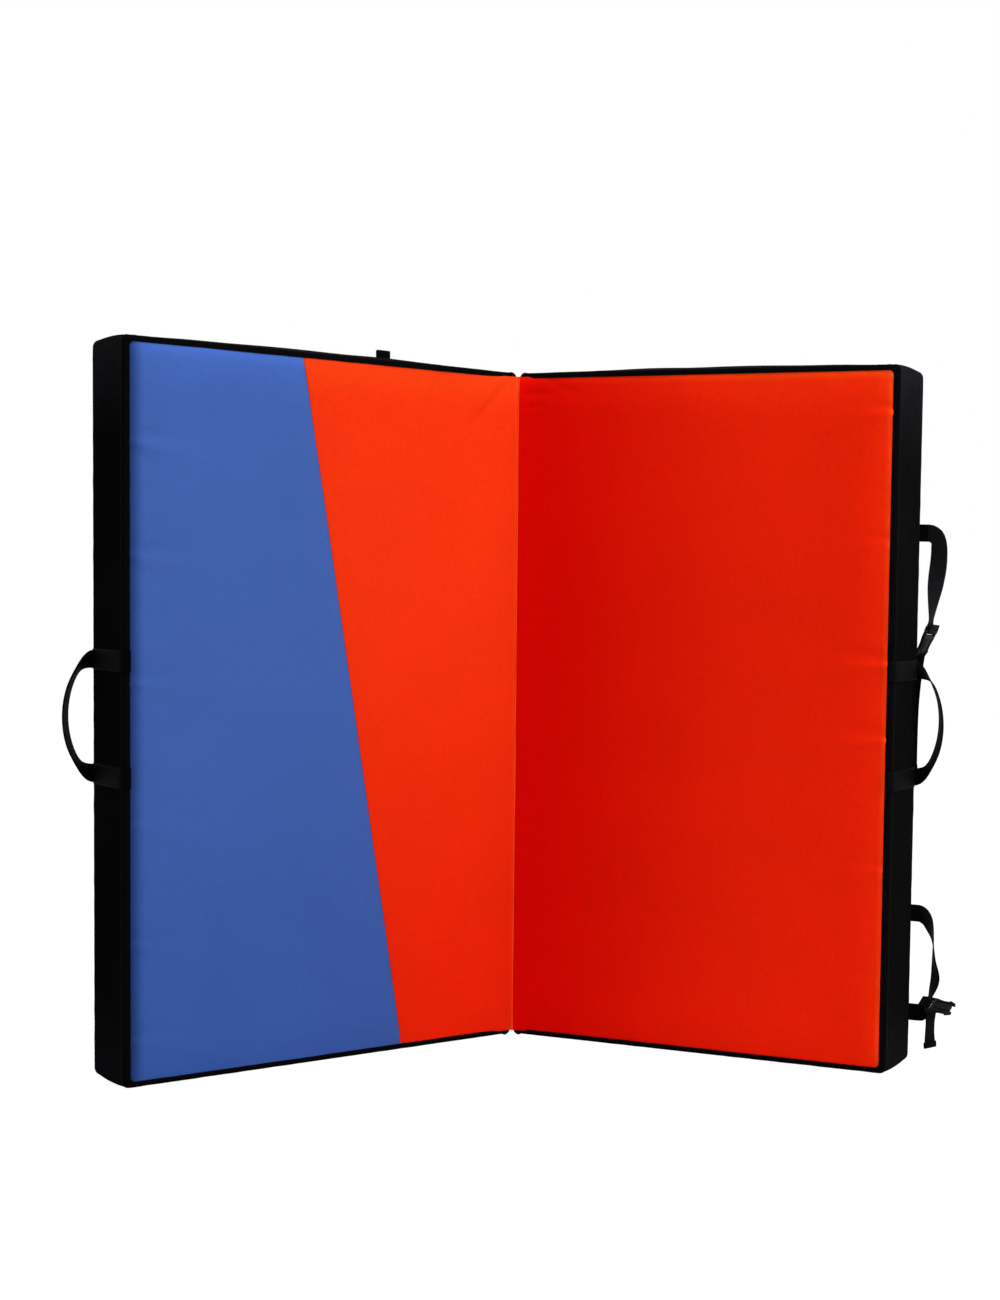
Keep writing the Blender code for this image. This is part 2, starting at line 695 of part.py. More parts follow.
def add_receivers(block):
    """Short webbing and a buckle's receiving half, folded flat on the back at each strap height."""
    back = THICKNESS + GAP
    low = THICKNESS + SURFACE + GAP
    web_top = low + WEB_THICK
    floor_top = low + RECEIVER_WALL
    roof = low + RECEIVER_THICK
    mouth = HALF_WIDTH - RECEIVER_FROM_EDGE
    hollow = mouth - RECEIVER_LONG / 2
    body = mouth - RECEIVER_LONG
    hinge = body - RECEIVER_NECK_LONG
    section = [(hinge, low), (mouth, low), (mouth, floor_top), (hollow, floor_top)]
    section += [(hollow, roof - RECEIVER_WALL), (mouth, roof - RECEIVER_WALL), (mouth, roof)]
    section += [(body, roof), (body, web_top), (hinge, web_top)]
    sewn = (hinge - STRAP_PATCH_LONG / 2, hinge + RECEIVER_NECK_LONG / 2)
    for name, z in (("upper", HEIGHT - UPPER_STRAP_DROP), ("lower", LOWER_STRAP_RISE)):
        patch = box(sewn, (back, back + WEB_THICK), (z - WEB_WIDTH / 2, z + WEB_WIDTH / 2))
        block.add(f"{name}_receiver_anchor", patch, "black_webbing")
        span = (z - RECEIVER_WIDE / 2, z + RECEIVER_WIDE / 2)
        at = (hinge, low + WEB_THICK / 2, z)
        block.add(f"{name}_receiver", upright(section, span), "black_plastic", at)


def sewn_plate(x, low):
    """A webbing patch sewn flat on the back, its lower edge at a height."""
    half = ANCHOR_WIDE / 2
    back = THICKNESS + GAP
    return box((x - half, x + half), (back, back + WEB_THICK), (low, low + ANCHOR_TALL))


def shoulder_rows(lie, top):
    """Depth, height, width and thickness along a padded strap that bows away from the back."""
    neck = (SHOULDER_NECK_WIDE, SHOULDER_THICK / 2)
    rows = [(lie, top, SHOULDER_NECK_WIDE, WEB_THICK)]
    rows.append((lie, top - SHOULDER_NECK_LONG / 2, SHOULDER_NECK_WIDE, WEB_THICK))
    for along, off in SHOULDER_shares:
        z = top - SHOULDER_NECK_LONG - SHOULDER_LONG * along
        y = lie + SHOULDER_THICK / 2 + SHOULDER_STAND_OFF * off
        wide, thick = neck if along in (0.0, 1.0) else (SHOULDER_WIDE, SHOULDER_THICK)
        rows.append((y, z, wide, thick))
    return rows


def add_shoulder_strap(block, name, x):
    """Padded strap hung from its anchor, with a ladder lock, and the webbing that meets it."""
    high_patch = HEIGHT - SHOULDER_TOP_DROP - ANCHOR_TALL
    block.add(f"{name}_strap_anchor", sewn_plate(x, high_patch), "black_webbing")
    lie = THICKNESS + SURFACE + GAP + WEB_THICK / 2
    top = high_patch + ANCHOR_TALL / 2
    axis = (x, lie, top)
    level = (1.0, 0.0, 0.0)
    rows = shoulder_rows(lie, top)
    path = [((x, y, z), level, wide, thick) for y, z, wide, thick in rows]
    block.add(f"{name}_shoulder_strap", padded(path), "black_fabric", axis)

    foot_y, foot_z = rows[-1][0], rows[-1][1]
    lock = ladder_plate(LADDER_LOCK_WIDE, LADDER_LOCK_TALL, LADDER_LOCK_THICK, LADDER_LOCK_RIM)
    lock_z = foot_z - LADDER_LOCK_TALL / 2 - GAP - GAP
    place = Matrix.Translation((x, foot_y, lock_z))
    block.add(f"{name}_ladder_lock", moved(lock, place), "black_plastic", axis)

    block.add(f"{name}_webbing_anchor", sewn_plate(x, SHOULDER_FOOT_RISE), "black_webbing")
    low = SHOULDER_FOOT_RISE + ANCHOR_TALL / 2
    leave = SHOULDER_FOOT_RISE + ANCHOR_TALL
    high = lock_z - LADDER_LOCK_TALL / 2 - GAP
    places = ((lie, low), (lie, leave), ((lie + foot_y) / 2, (leave + high) / 2), (foot_y, high))
    path = [((x, y, z), level, WEB_WIDTH, WEB_THICK) for y, z in places]
    block.add(f"{name}_lower_webbing", ribbon(path), "black_webbing", (x, lie, low))


def padded(path):
    """A strap with rounded edges: each row is an eight-sided section."""
    loops = []
    count = len(path)
    for k, (centre, across, width, thick) in enumerate(path):
        ahead = Vector(path[min(k + 1, count - 1)][0]) - Vector(path[max(k - 1, 0)][0])
        if k == 0:
            ahead = Vector((0.0, 0.0, ahead.z))
        wide = Vector(across) * width / 2
        deep = ahead.cross(wide).normalized() * thick / 2
        ease = 1 - min(thick, width / 2) / width
        side = PAD_SIDE_share
        section = [(-1, -side), (-ease, -1), (ease, -1), (1, -side)]
        section += [(-s, -t) for s, t in section]
        loops.append([tuple(Vector(centre) + s * wide + t * deep) for s, t in section])
    return loft(loops)


def add_top_tab(block):
    """A folded piece of webbing sewn at the rear top edge, standing up."""
    half = TAB_THICK / 2
    fold = arc((THICKNESS - TAB_FROM_BACK, HEIGHT + TAB_TALL - half), half, 0.0, math.pi)
    foot = HEIGHT + GAP
    section = [(fold[0][0], foot)] + fold + [(fold[-1][0], foot)]
    ends = (TAB_FROM_HINGE - TAB_WIDE / 2, TAB_FROM_HINGE + TAB_WIDE / 2)
    tab = prism(section, lambda p: (ends[0], p[0], p[1]), lambda p: (ends[1], p[0], p[1]))
    block.add("top_tab", tab, "black_webbing")


def add_hinge_seam(block):
    """The welt that joins the two covers, on the fold axis."""
    ends = (HINGE_CORNER, HEIGHT - HINGE_CORNER)
    circle = arc((0.0, 0.0), HINGE_SEAM_RADIUS, 0.0, math.tau, ROUND_SIDES)[:-1]
    block.add("hinge_seam", upright(circle, ends), "orange_fabric")


def add_block(block, two_colours):
    add_foam(block)
    add_cover(block)
    add_landing(block, two_colours)
    add_zip(block)
    add_handle(block)


def main():
    clear_scene()
    pad = empty("pad_frame", at=(-CENTRE_SHIFT, HINGE_BACK, 0.0))
    right = Block("right", 1, empty("right_frame", pad, turn=-LEAN))
    left = Block("left", -1, empty("left_frame", pad, turn=LEAN))
    add_block(right, False)
    add_hinge_seam(right)
    add_closing_straps(right)
    add_block(left, True)
    add_receivers(left)
    add_shoulder_strap(left, "inner", HALF_WIDTH / 2 - SHOULDER_SPACING / 2)
    add_shoulder_strap(left, "outer", HALF_WIDTH / 2 + SHOULDER_SPACING / 2)
    add_top_tab(left)


main()
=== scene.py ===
"""Dress the folding crash pad: fabric, foam look, webbing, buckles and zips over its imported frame.

Each half is drawn in its own frame, as in the part: u runs from the hinge axis to the outer edge,
r from the landing plane to the back, z up. The left half is mirrored. Lengths are in metres.
"""

import math

import bmesh
import bpy
from mathutils import Matrix, Vector, noise


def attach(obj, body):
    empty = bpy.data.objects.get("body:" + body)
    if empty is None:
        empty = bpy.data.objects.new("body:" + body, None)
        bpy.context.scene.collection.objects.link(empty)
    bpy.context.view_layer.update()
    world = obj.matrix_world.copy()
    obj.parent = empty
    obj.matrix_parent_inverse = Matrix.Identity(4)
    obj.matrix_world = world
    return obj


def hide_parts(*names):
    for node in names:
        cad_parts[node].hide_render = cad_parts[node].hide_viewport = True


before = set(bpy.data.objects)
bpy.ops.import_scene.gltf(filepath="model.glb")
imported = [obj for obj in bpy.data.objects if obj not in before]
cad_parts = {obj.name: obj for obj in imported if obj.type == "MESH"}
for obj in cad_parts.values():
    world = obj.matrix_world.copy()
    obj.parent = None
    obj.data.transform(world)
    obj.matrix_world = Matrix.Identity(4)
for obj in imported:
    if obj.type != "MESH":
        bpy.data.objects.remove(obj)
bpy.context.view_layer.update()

# Sizes that the part has too
HALF_WIDTH = 0.600
HEIGHT = 1.000
THICKNESS = 0.115
LEAN = math.radians(31.0)
CENTRE_SHIFT = 0.013
HINGE_BACK = (HALF_WIDTH * math.sin(LEAN) - THICKNESS * math.cos(LEAN)) / 2
GAP = 0.0003
SKIN = 0.0016
CORNER = 0.010
CORNER_STEPS = 8
HINGE_CLEAR = 0.0004
BINDING_RADIUS = 0.006
BINDING_LEG = 0.0026
EDGE_DEPTH = 0.0053
PANEL_INSET = BINDING_RADIUS + GAP + GAP
WALL_FRONT = EDGE_DEPTH + BINDING_RADIUS + GAP
WALL_BACK = THICKNESS - BINDING_RADIUS - GAP
WEB_WIDTH = 0.025
WEB_THICK = 0.002
SURFACE = GAP + WEB_THICK
RIB_PITCH = 0.0016
WEB_STEP = 0.004
SEAM_AT_TOP = 0.346
SEAM_AT_BOTTOM = 0.184

# Foam layers
FOAM_TOP = 0.020
FOAM_BASE = 0.015
FOAM_STEP = 0.050
FOAM_WORN = 0.0004

# Landing cushions
ROLL = 0.028
HINGE_ROLL = 0.003
HINGE_WALL_FRONT = 0.0032
CROWN_SAG = 0.0018
SLACK = 0.0026
FACE_FRONT = 0.0005
CLOTH_EDGE = EDGE_DEPTH + 0.0014
FACE_GRID = 0.008
BACK_GRID = 0.02
SWELL_CAP = 0.0024
CLOTH_FRAMES = 16
CORNER_DROP = 0.0026
FACE_CORNER = 0.007
DEEPEST = EDGE_DEPTH + SKIN + GAP - 0.0004
PUCKER_DEPTH = 0.0050
PUCKER_WIDE = 0.0036
PUCKER_LONG = 0.036
RIDGE_LONG = 0.090
GATHER_DEEP = 0.0007
GATHER_LONG = 0.022
GATHER_FADE = 0.012
SEAM_DIP = 0.0011
SEAM_DIP_WIDE = 0.004

# The folds fade out over this distance from the crease
CREASE_FADE = 0.016

# Hinge welt
WELT_AT = 0.0012
WELT_RADIUS = 0.0015

# Walls
WALL_BULGE = 0.0020
TOP_BULGE = 0.0075
WALL_STEP = 0.008
WALL_ROWS = 14
WALL_WAVE_LONG = 0.09
WALL_WAVE_share = 0.4
GATHER_share = 0.16
GATHER_WIDE = 0.009
GATHER_FADE_share = 0.08
BINDING_STEPS = 8
BINDING_PUFF = 0.0004
BINDING_PUFF_LONG = 0.02
WALL_SEAM = 0.0022
SEAM_RISE = 0.0002

# Handles
HANDLE_SPAN = 0.155
HANDLE_UNDER_MIDDLE = 0.0055
HANDLE_REACH = 0.041
HANDLE_FROM_BACK = 0.012
HANDLE_PATCH_TALL = 0.029
PATCH_STEP = 0.004
PATCH_OVERLAP = 0.001
PATCH_FRONT_SEAM = 0.006
PATCH_CROSS = (0.030, 0.004)
HANDLE_HIGH_TWIST = {"right": math.radians(22.0), "left": math.radians(35.0)}
HANDLE_LOW_TWIST = {"right": math.radians(42.0), "left": math.radians(38.0)}
HANDLE_PEAK_POWER = 1.15
PATCH_LIP = {"left": 0.0088, "right": 0.0048}

# Closing straps and their buckles
STRAP_LIP = 0.010
STRAP_PATCH_LONG = 0.085
RETURN_TAB_LIP = 0.018
RETURN_TAB_LIFT = 0.007
HEM_TALL = 0.008
HEM_THICK = 0.0042
HEM_WIDER_share = 1.04
UPPER_STRAP_AT = 0.7695
LOWER_STRAP_AT = 0.2165
RETURN_TAB_AT = 0.0705
UPPER_SPANS = (0.017, 0.012, 0.137)
UPPER_TAIL_SPANS = (0.012, 0.012, 0.172)
LOWER_SPANS = (0.028, 0.0, 0.1245)
LOWER_TAIL_SPANS = (0.022, 0.0, 0.057)
BUCKLE_LONG = 0.040
BUCKLE_WIDE = 0.031
BUCKLE_THICK = 0.005
BUCKLE_BAR = 0.003
BUCKLE_SLOT = 0.0036
BUCKLE_PRONG = 0.0034
WRAP_LONG = 0.011
BUCKLE_GUIDE = 0.0070
UPPER_BUCKLE = (0.004, 0.012, 0.141, math.radians(24.0), math.radians(80.0))
LOWER_BUCKLE = (0.016, 0.0, 0.1325, math.radians(-84.0), math.radians(66.0))

# Rounding of the slots and edges of buckles and zip parts
SLOT_ROUND = 0.001
FINE_BEVEL = 0.0003
POST_BEVEL = 0.0005
WALL_BEVEL = 0.0006
PLATE_BEVEL = 0.0008
SOFT_BEVEL = 0.0012

# Buckle receivers
RECEIVER_LONG = 0.052
RECEIVER_WIDE = 0.034
RECEIVER_THICK = 0.012
RECEIVER_WALL = 0.0025
RECEIVER_MOUTH = 0.584
RECEIVER_HINGE = 0.518
RECEIVER_CUT = 0.003
RECEIVER_NOTCH = 0.005
RECEIVER_POST = 0.002
RECEIVER_POST_OFF = 0.0022
RECEIVER_POSTS = (0.013, 0.001)
RECEIVER_SIDE_FROM = (0.012, 0.009)
RECEIVER_LIP = 0.002
RECEIVER_RAIL = 0.018
RECEIVER_SLOT = (0.0065, 0.0125)
RECEIVER_SLOT_ROOM = 0.0005
RECEIVER_STOP = (0.0135, 0.022)
RECEIVER_WEB_SEAM = 0.007

# Shoulder straps
SHOULDER_SPACING = 0.170
SHOULDER_LONG = 0.430
SHOULDER_WIDE = 0.065
SHOULDER_THICK = 0.014
SHOULDER_STAND_OFF = 0.045
SHOULDER_STEP = 0.006
SHOULDER_SIDES = 28
NECK_LONG = 0.030
NECK_WIDE = 0.038
ANCHOR_WIDE = 0.048
ANCHOR_TALL = 0.060
HIGH_ANCHOR_AT = 0.810
LOW_ANCHOR_AT = 0.110
LOCK_WIDE = 0.034
LOCK_TALL = 0.030
LOCK_THICK = 0.005
LOCK_RIM = 0.004
LOCK_LIP_RADIUS = 0.0018
LOCK_LIP_BACK = 0.003
WEB_ENDS_BELOW = (0.03, 0.055)
PIPING_RADIUS = 0.0022
TUBE_SIDES = 8

# Zips
ZIP_FROM_HINGE = 0.030
ZIP_END_MARGIN = 0.050
ZIP_TAPE_WIDE = 0.030
ZIP_TAPE_THICK = 0.0008
TOOTH_PITCH = 0.0022
SLIDER_WIDE = 0.012
SLIDER_TALL = 0.016
SLIDER_FROM_END = 0.008
PULL_WIDE = 0.007
PULL_LONG = 0.030
PULL_THICK = 0.0014
PULL_OFF = 0.0011
PULL_EYE = (0.0013, 0.0016)
PULL_EYE_AT = -0.0028
PULL_SLOT_WIDE = 0.0024
SLIDER_PLATE = 0.0016
SLIDER_BEVEL = 0.0004
SLIDER_FLANGE = 0.0008
SLIDER_RISE = 0.0022
BRIDGE_RADIUS = 0.0006
BRIDGE_HIGH = 0.0016
TAPE_STEPS = 60
TAPE_WAVE = 0.0003
TAPE_WAVE_LONG = 0.03
TAPE_SPLIT = 0.0005
TEETH_RISE = 0.0003
TOOTH_ENDS = (-0.0009, 0.0030)
TOOTH_SECTION = ((-0.0006, 0.0), (0.0009, 0.0), (0.0012, 0.0007), (0.0006, 0.0013), (-0.0004, 0.0013),
                 (-0.0009, 0.0007))

# Small tab above the left half
TAB_FROM_HINGE = 0.169
TAB_WIDE = 0.022
TAB_TALL = 0.025
TAB_FROM_BACK = 0.012
TAB_THICK = 0.0016
TAB_LEG_OFF = 0.0011
TAB_SEAM_AT = 0.006

# Thread
STITCH_LONG = 0.0030
STITCH_PITCH = 0.0044
STITCH_RADIUS = 0.00035
CROSS_INSET = 0.003

# Camera, fitted to the corners of both halves in the photograph
PHOTO_WIDE = 1000
PHOTO_TALL = 1300
FOCAL_PIXELS = 2032.5
CENTRE_PIXEL = (809.4, 724.2)
CAMERA_FROM_HINGE = Vector((-0.0665, -3.0909, 0.6777))
CAMERA_YAW = -0.1658
CAMERA_PITCH = -0.0637
CAMERA_ROLL = 0.0198
SENSOR = 36.0

# Studio: each light's name, place and watts
FLOOR_REACH = 30.0
FLOOR_BELOW = 0.0005
WORLD_STRENGTH = 0.40
LIGHT_TARGET = (0.0, 0.0, 0.5)
LIGHT_SIZE = 1.4
LIGHTS = (
    ("key", (2.7, -2.0, 2.3), 73.0),
    ("fill", (-2.1, -2.5, 1.6), 12.0),
    ("top", (0.2, -0.9, 3.2), 26.0),
)


def new_object(name, data):
    made = bpy.data.objects.new(name, data)
    bpy.context.scene.collection.objects.link(made)
    return made


class Nodes:
    """The node tree of a new material or world, with short ways to add to it."""

    def __init__(self, owner):
        owner.use_nodes = True
        self.owner = owner
        self.tree = owner.node_tree
        self.shader = self.tree.nodes.get("Principled BSDF")

    def fill(self, node, inputs):
        """Link sockets to a node's inputs and set the others to constants."""
        for key, value in inputs.items():
            if isinstance(value, bpy.types.NodeSocket):
                self.tree.links.new(value, node.inputs[key])
            else:
                node.inputs[key].default_value = value

    def add(self, kind, inputs=None, **settings):
        node = self.tree.nodes.new(kind)
        for key, value in settings.items():
            setattr(node, key, value)
        self.fill(node, inputs or {})
        return node

    def compute(self, operation, *terms):
        return self.add("ShaderNodeMath", dict(enumerate(terms)), operation=operation).outputs[0]

    def place(self):
        return self.add("ShaderNodeTexCoord").outputs["Object"]

    def noise(self, place, scale, detail):
        inputs = {"Vector": place, "Scale": scale, "Detail": detail}
        return self.add("ShaderNodeTexNoise", inputs).outputs["Fac"]

    def mapped(self, value, low, high, start=0.0, end=1.0, kind="LINEAR"):
        """Carry a value's span from start to end over to low to high."""
        inputs = {"Value": value, 1: start, 2: end, 3: low, 4: high}
        return self.add("ShaderNodeMapRange", inputs, interpolation_type=kind).outputs[0]

    def edges(self, start, end, most):
        """How far a place counts as a rubbed edge."""
        sharp = self.add("ShaderNodeNewGeometry").outputs["Pointiness"]
        return self.mapped(sharp, 0.0, most, start, end)

    def scaled(self, colour, share):
        inputs = {0: colour, "Scale": share}
        return self.add("ShaderNodeVectorMath", inputs, operation="SCALE").outputs[0]

    def mixed(self, share, one, two, kind="MIX"):
        inputs = {"Fac": share, "Color1": one, "Color2": two}
        return self.add("ShaderNodeMixRGB", inputs, blend_type=kind).outputs[0]

    def finish(self, height, strength, distance, **inputs):
        """Join the bump and the rest to the shader; an underscore stands for a space."""
        bump = self.add("ShaderNodeBump", {"Height": height, "Strength": strength, "Distance": distance})
        self.fill(self.shader, {"Normal": bump.outputs["Normal"]})
        self.fill(self.shader, {key.replace("_", " "): value for key, value in inputs.items()})
        return self.owner


def painted_light_grades(nodes, colour, place, painted_light_zones):
    """Paint light and shade into a colour along an axis: where it is full, where it ends and its share per
    channel.
    """
    split = nodes.add("ShaderNodeSeparateXYZ", {0: place})
    for axis, full, end, share in painted_light_zones:
        low, high = sorted((full, end))
        fade = nodes.mapped(split.outputs[axis], full < end, full > end, low, high, "SMOOTHSTEP")
        colour = nodes.mixed(fade, colour, (*share, 1.0), "MULTIPLY")
    return colour


def woven(name, colour, pitch, roughness=0.8, relief=0.3, mottle=0.06, contrast=0.35, dust=0.0, painted_light_zones=(),
          gloss=0.02):
    """Plain-weave fabric: threads over and under along x and z, soft mottling and worn high spots."""
    nodes = Nodes(bpy.data.materials.new(name))
    place = nodes.place()
    waves = []
    for direction in ("X", "Z"):
        inputs = {"Vector": place, "Scale": math.pi / (10.0 * pitch)}
        wave = nodes.add("ShaderNodeTexWave", inputs, bands_direction=direction)
        waves.append(nodes.compute("SUBTRACT", wave.outputs["Fac"], 0.5))
    weave = nodes.compute("MULTIPLY", *waves)
    height = nodes.compute("MULTIPLY_ADD", nodes.noise(place, 900.0, 2.0), 0.25, weave)
    broad = nodes.noise(place, 7.0, 4.0)
    fine = nodes.noise(place, 160.0, 2.0)
    shade = nodes.mapped(nodes.compute("ADD", broad, fine), 1.0 - mottle, 1.0 + mottle, 0.6, 1.4)
    tint = nodes.scaled(colour, nodes.compute("MULTIPLY_ADD", weave, contrast, shade))
    # Painted light and shade: the colour is made lighter or darker over the surface by its zones
    with_painted_light = painted_light_grades(nodes, tint, place, painted_light_zones)
    worn = nodes.mixed(nodes.edges(0.52, 0.62, dust), with_painted_light, (0.16, 0.155, 0.15, 1.0))
    rough = nodes.mapped(fine, roughness - 0.08, roughness + 0.08)
    return nodes.finish(height, relief, pitch / 3, Base_Color=worn, Roughness=rough, Specular_IOR_Level=gloss)


def ribbed(name, colour):
    """Webbing: ribs across it in a shallow herringbone, from the strap's own coordinates in metres."""
    nodes = Nodes(bpy.data.materials.new(name))
    flat = nodes.add("ShaderNodeUVMap", uv_map="UVMap").outputs["UV"]
    split = nodes.add("ShaderNodeSeparateXYZ", {0: flat})
    across = split.outputs["X"]
    folded = nodes.compute("PINGPONG", across, WEB_WIDTH / 4)
    slant = nodes.compute("ADD", folded, split.outputs["Y"])
    ribs = nodes.compute("SINE", nodes.compute("MULTIPLY", slant, math.tau / RIB_PITCH))
    yarns = nodes.compute("SINE", nodes.compute("MULTIPLY", across, math.tau / (RIB_PITCH / 1.5)))
    height = nodes.compute("MULTIPLY_ADD", yarns, 0.4, ribs)
    shade = nodes.mapped(nodes.noise(nodes.place(), 90.0, 4.0), 0.6, 1.6)
    tint = nodes.scaled(colour, nodes.compute("MULTIPLY_ADD", height, 0.22, shade))
    return nodes.finish(height, 0.45, 0.0004, Base_Color=tint, Roughness=0.62, Specular_IOR_Level=0.012)


def moulded(name, colour, roughness, metallic=0.0, grain=0.00008, stretch=(1.0, 1.0, 1.0), gloss=0.5):
    """Moulded plastic or cast metal: fine grain, uneven gloss and edges rubbed lighter."""
    nodes = Nodes(bpy.data.materials.new(name))
    place = nodes.place()
    drawn = nodes.add("ShaderNodeMapping", {"Vector": place, "Scale": stretch}).outputs[0]
    fine = nodes.noise(drawn, 1400.0, 3.0)
    rough = nodes.mapped(nodes.noise(place, 120.0, 3.0), roughness - 0.07, roughness + 0.10)
    bright = tuple(min(1.0, c * 2 + 0.02) for c in colour)
    rubbed = nodes.mixed(nodes.edges(0.51, 0.60, 0.5), (*colour, 1.0), (*bright, 1.0))
    return nodes.finish(fine, 0.25, grain, Base_Color=rubbed, Roughness=rough, Metallic=metallic,
                        Specular_IOR_Level=gloss)


def cellular(name, colour, cell):
    """Foam: small open cells as bump and shade."""
    nodes = Nodes(bpy.data.materials.new(name))
    cells = nodes.add("ShaderNodeTexVoronoi", {"Vector": nodes.place(), "Scale": 1.0 / cell})
    cells = cells.outputs["Distance"]
    tint = nodes.scaled(colour, nodes.mapped(cells, 1.05, 0.8))
    return nodes.finish(cells, 0.6, cell / 4, Base_Color=tint, Roughness=0.9)


# Painted light and shade over the faces and walls: the axis, where the painting is full, where it ends,
# and the share of red, green and blue that is left there; the left half lies at negative x
FACE_EDGE = HALF_WIDTH - PANEL_INSET
FACE_TOP = HEIGHT - PANEL_INSET
# Painted light on the orange face: a lighter strip at the hinge edge, lighter towards the top, painted shade
# towards the bottom
ORANGE_PAINTED_LIGHT = (
    ("X", 0.0, -0.005, (1.05, 1.50, 1.60)),
    ("Z", FACE_TOP, FACE_TOP - 0.060, (1.00, 1.40, 1.35)),
    ("Z", 0.0, HEIGHT * 0.8, (0.92, 0.50, 0.45)),
)
# Painted light on the right face: painted highlights along its rolled outer and top edges and towards the
# top, painted shade towards the crease
RIGHT_FACE_PAINTED_LIGHT = (
    ("X", FACE_EDGE, FACE_EDGE - 0.012, (1.26, 2.90, 3.40)),
    ("X", FACE_EDGE, FACE_EDGE - 0.040, (1.05, 1.45, 1.60)),
    ("X", 0.0, 0.450, (0.80, 0.10, 0.10)),
    ("Z", FACE_TOP, FACE_TOP - 0.016, (1.16, 2.60, 2.80)),
    ("Z", FACE_TOP, FACE_TOP - 0.070, (1.05, 1.45, 1.45)),
    ("Z", HEIGHT, HEIGHT * 0.6, (1.05, 1.20, 1.20)),
)
# Painted light on the blue face: painted shade along its rolled outer edge and towards the bottom, lighter
# towards the top
BLUE_PAINTED_LIGHT = (
    ("X", -FACE_EDGE, -FACE_EDGE + 0.024, (0.30, 0.30, 0.36)),
    ("Z", FACE_TOP, FACE_TOP - 0.022, (1.20, 1.20, 1.28)),
    ("Z", FACE_TOP, FACE_TOP - 0.080, (1.08, 1.10, 1.12)),
    ("Z", 0.0, HEIGHT * 0.7, (0.82, 0.88, 0.92)),
)
# Painted light on the black cloth: painted sheen towards the top and bottom ends, painted shade on the left
# half and at the hinge
WALL_PAINTED_LIGHT = (
    ("Z", HEIGHT, HEIGHT - 0.150, (3.2, 3.2, 3.6)),
    ("Z", 0.0, 0.130, (2.0, 2.0, 2.2)),
    ("X", -CORNER, CORNER, (0.75, 0.75, 0.75)),
)
LOOKS = {
    "orange_fabric": woven("orange_fabric", (0.85, 0.034, 0.0040), 0.0009, painted_light_zones=ORANGE_PAINTED_LIGHT),
    # The right face's cloth: a redder copy of the orange fabric, as painted shade
    "orange_fabric_painted_shade": woven("orange_fabric_painted_shade", (0.91, 0.016, 0.0012), 0.0009, painted_light_zones=RIGHT_FACE_PAINTED_LIGHT),
    "blue_fabric": woven("blue_fabric", (0.050, 0.119, 0.410), 0.0009, painted_light_zones=BLUE_PAINTED_LIGHT),
    "welt_fabric": woven("welt_fabric", (0.90, 0.058, 0.0080), 0.0009),
    "black_fabric": woven("black_fabric", (0.0040, 0.0040, 0.0044), 0.0016, 0.9, 0.6, 0.35, 1.8, 0.02,
                          WALL_PAINTED_LIGHT, 0.0),
    "black_tape": woven("black_tape", (0.0026, 0.0026, 0.0029), 0.0008, 0.9, 0.5, 0.25, 0.8, gloss=0.004),
    "black_webbing": ribbed("black_webbing", (0.0022, 0.0022, 0.0025)),
    # A darker copy of the black webbing, as painted shade on the left handle
    "webbing_painted_shade": ribbed("webbing_painted_shade", (0.0008, 0.0008, 0.0009)),
    "lit_webbing": ribbed("lit_webbing", (0.0085, 0.0085, 0.0100)),
    "black_thread": moulded("black_thread", (0.0024, 0.0024, 0.0027), 0.8, gloss=0.02),
    "black_plastic": moulded("black_plastic", (0.0022, 0.0022, 0.0025), 0.45, gloss=0.05),
    "zip_metal": moulded("zip_metal", (0.50, 0.50, 0.51), 0.30, 1.0, 0.00005, (1.0, 1.0, 0.08)),
    "zip_coil": moulded("zip_coil", (0.016, 0.016, 0.017), 0.42),
    "soft_foam": cellular("soft_foam", (0.80, 0.78, 0.62), 0.0022),
    "firm_foam": cellular("firm_foam", (0.05, 0.05, 0.055), 0.0012),
}


class Half:
    """One half of the pad, with its side, its frame in space and its body."""

    def __init__(self, name, sign):
        self.name = name
        self.sign = sign
        turn = Matrix.Rotation(-LEAN * sign, 4, "Z")
        self.place = Matrix.Translation((-CENTRE_SHIFT, HINGE_BACK, 0.0)) @ turn
        self.body = f"{name}_block"

    def piece(self, name, shape, look, body=None, nodes=(), uvs=None):
        """A named mesh in this half's frame that rides on a body and stands for CAD nodes."""
        points, faces = shape
        mesh = bpy.data.meshes.new(f"{self.name}_{name}")
        mesh.from_pydata([(p[0] * self.sign, p[1], p[2]) for p in points], [], faces)
        if uvs:
            layer = mesh.uv_layers.new(name="UVMap")
            for loop in mesh.loops:
                layer.data[loop.index].uv = uvs[loop.vertex_index]
        work = bmesh.new()
        work.from_mesh(mesh)
        bmesh.ops.recalc_face_normals(work, faces=work.faces)
        work.to_mesh(mesh)
        work.free()
        mesh.shade_smooth()
        mesh.set_sharp_from_angle(angle=math.radians(45.0))
        mesh.materials.append(LOOKS[look])
        made = new_object(f"{self.name}_{name}_look", mesh)
        made.matrix_world = self.place
        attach(made, body or self.body)
        if nodes:
            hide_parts(*(f"{self.name}_{node}" for node in nodes))
        return made


def skin_rows(rows, ring=True, caps=True):
    """Faces over equal rows of points: each row a closed ring or an open line."""
    count = len(rows[0])
    points = [p for row in rows for p in row]
    faces = []
    for i in range(len(rows) - 1):
        for k in range(count if ring else count - 1):
            a = i * count + k
            b = i * count + (k + 1) % count
            faces.append((a, b, b + count, a + count))
    if ring and caps:
        faces.append(tuple(range(count)))
        faces.append(tuple(range(len(points) - count, len(points))))
    return points, faces


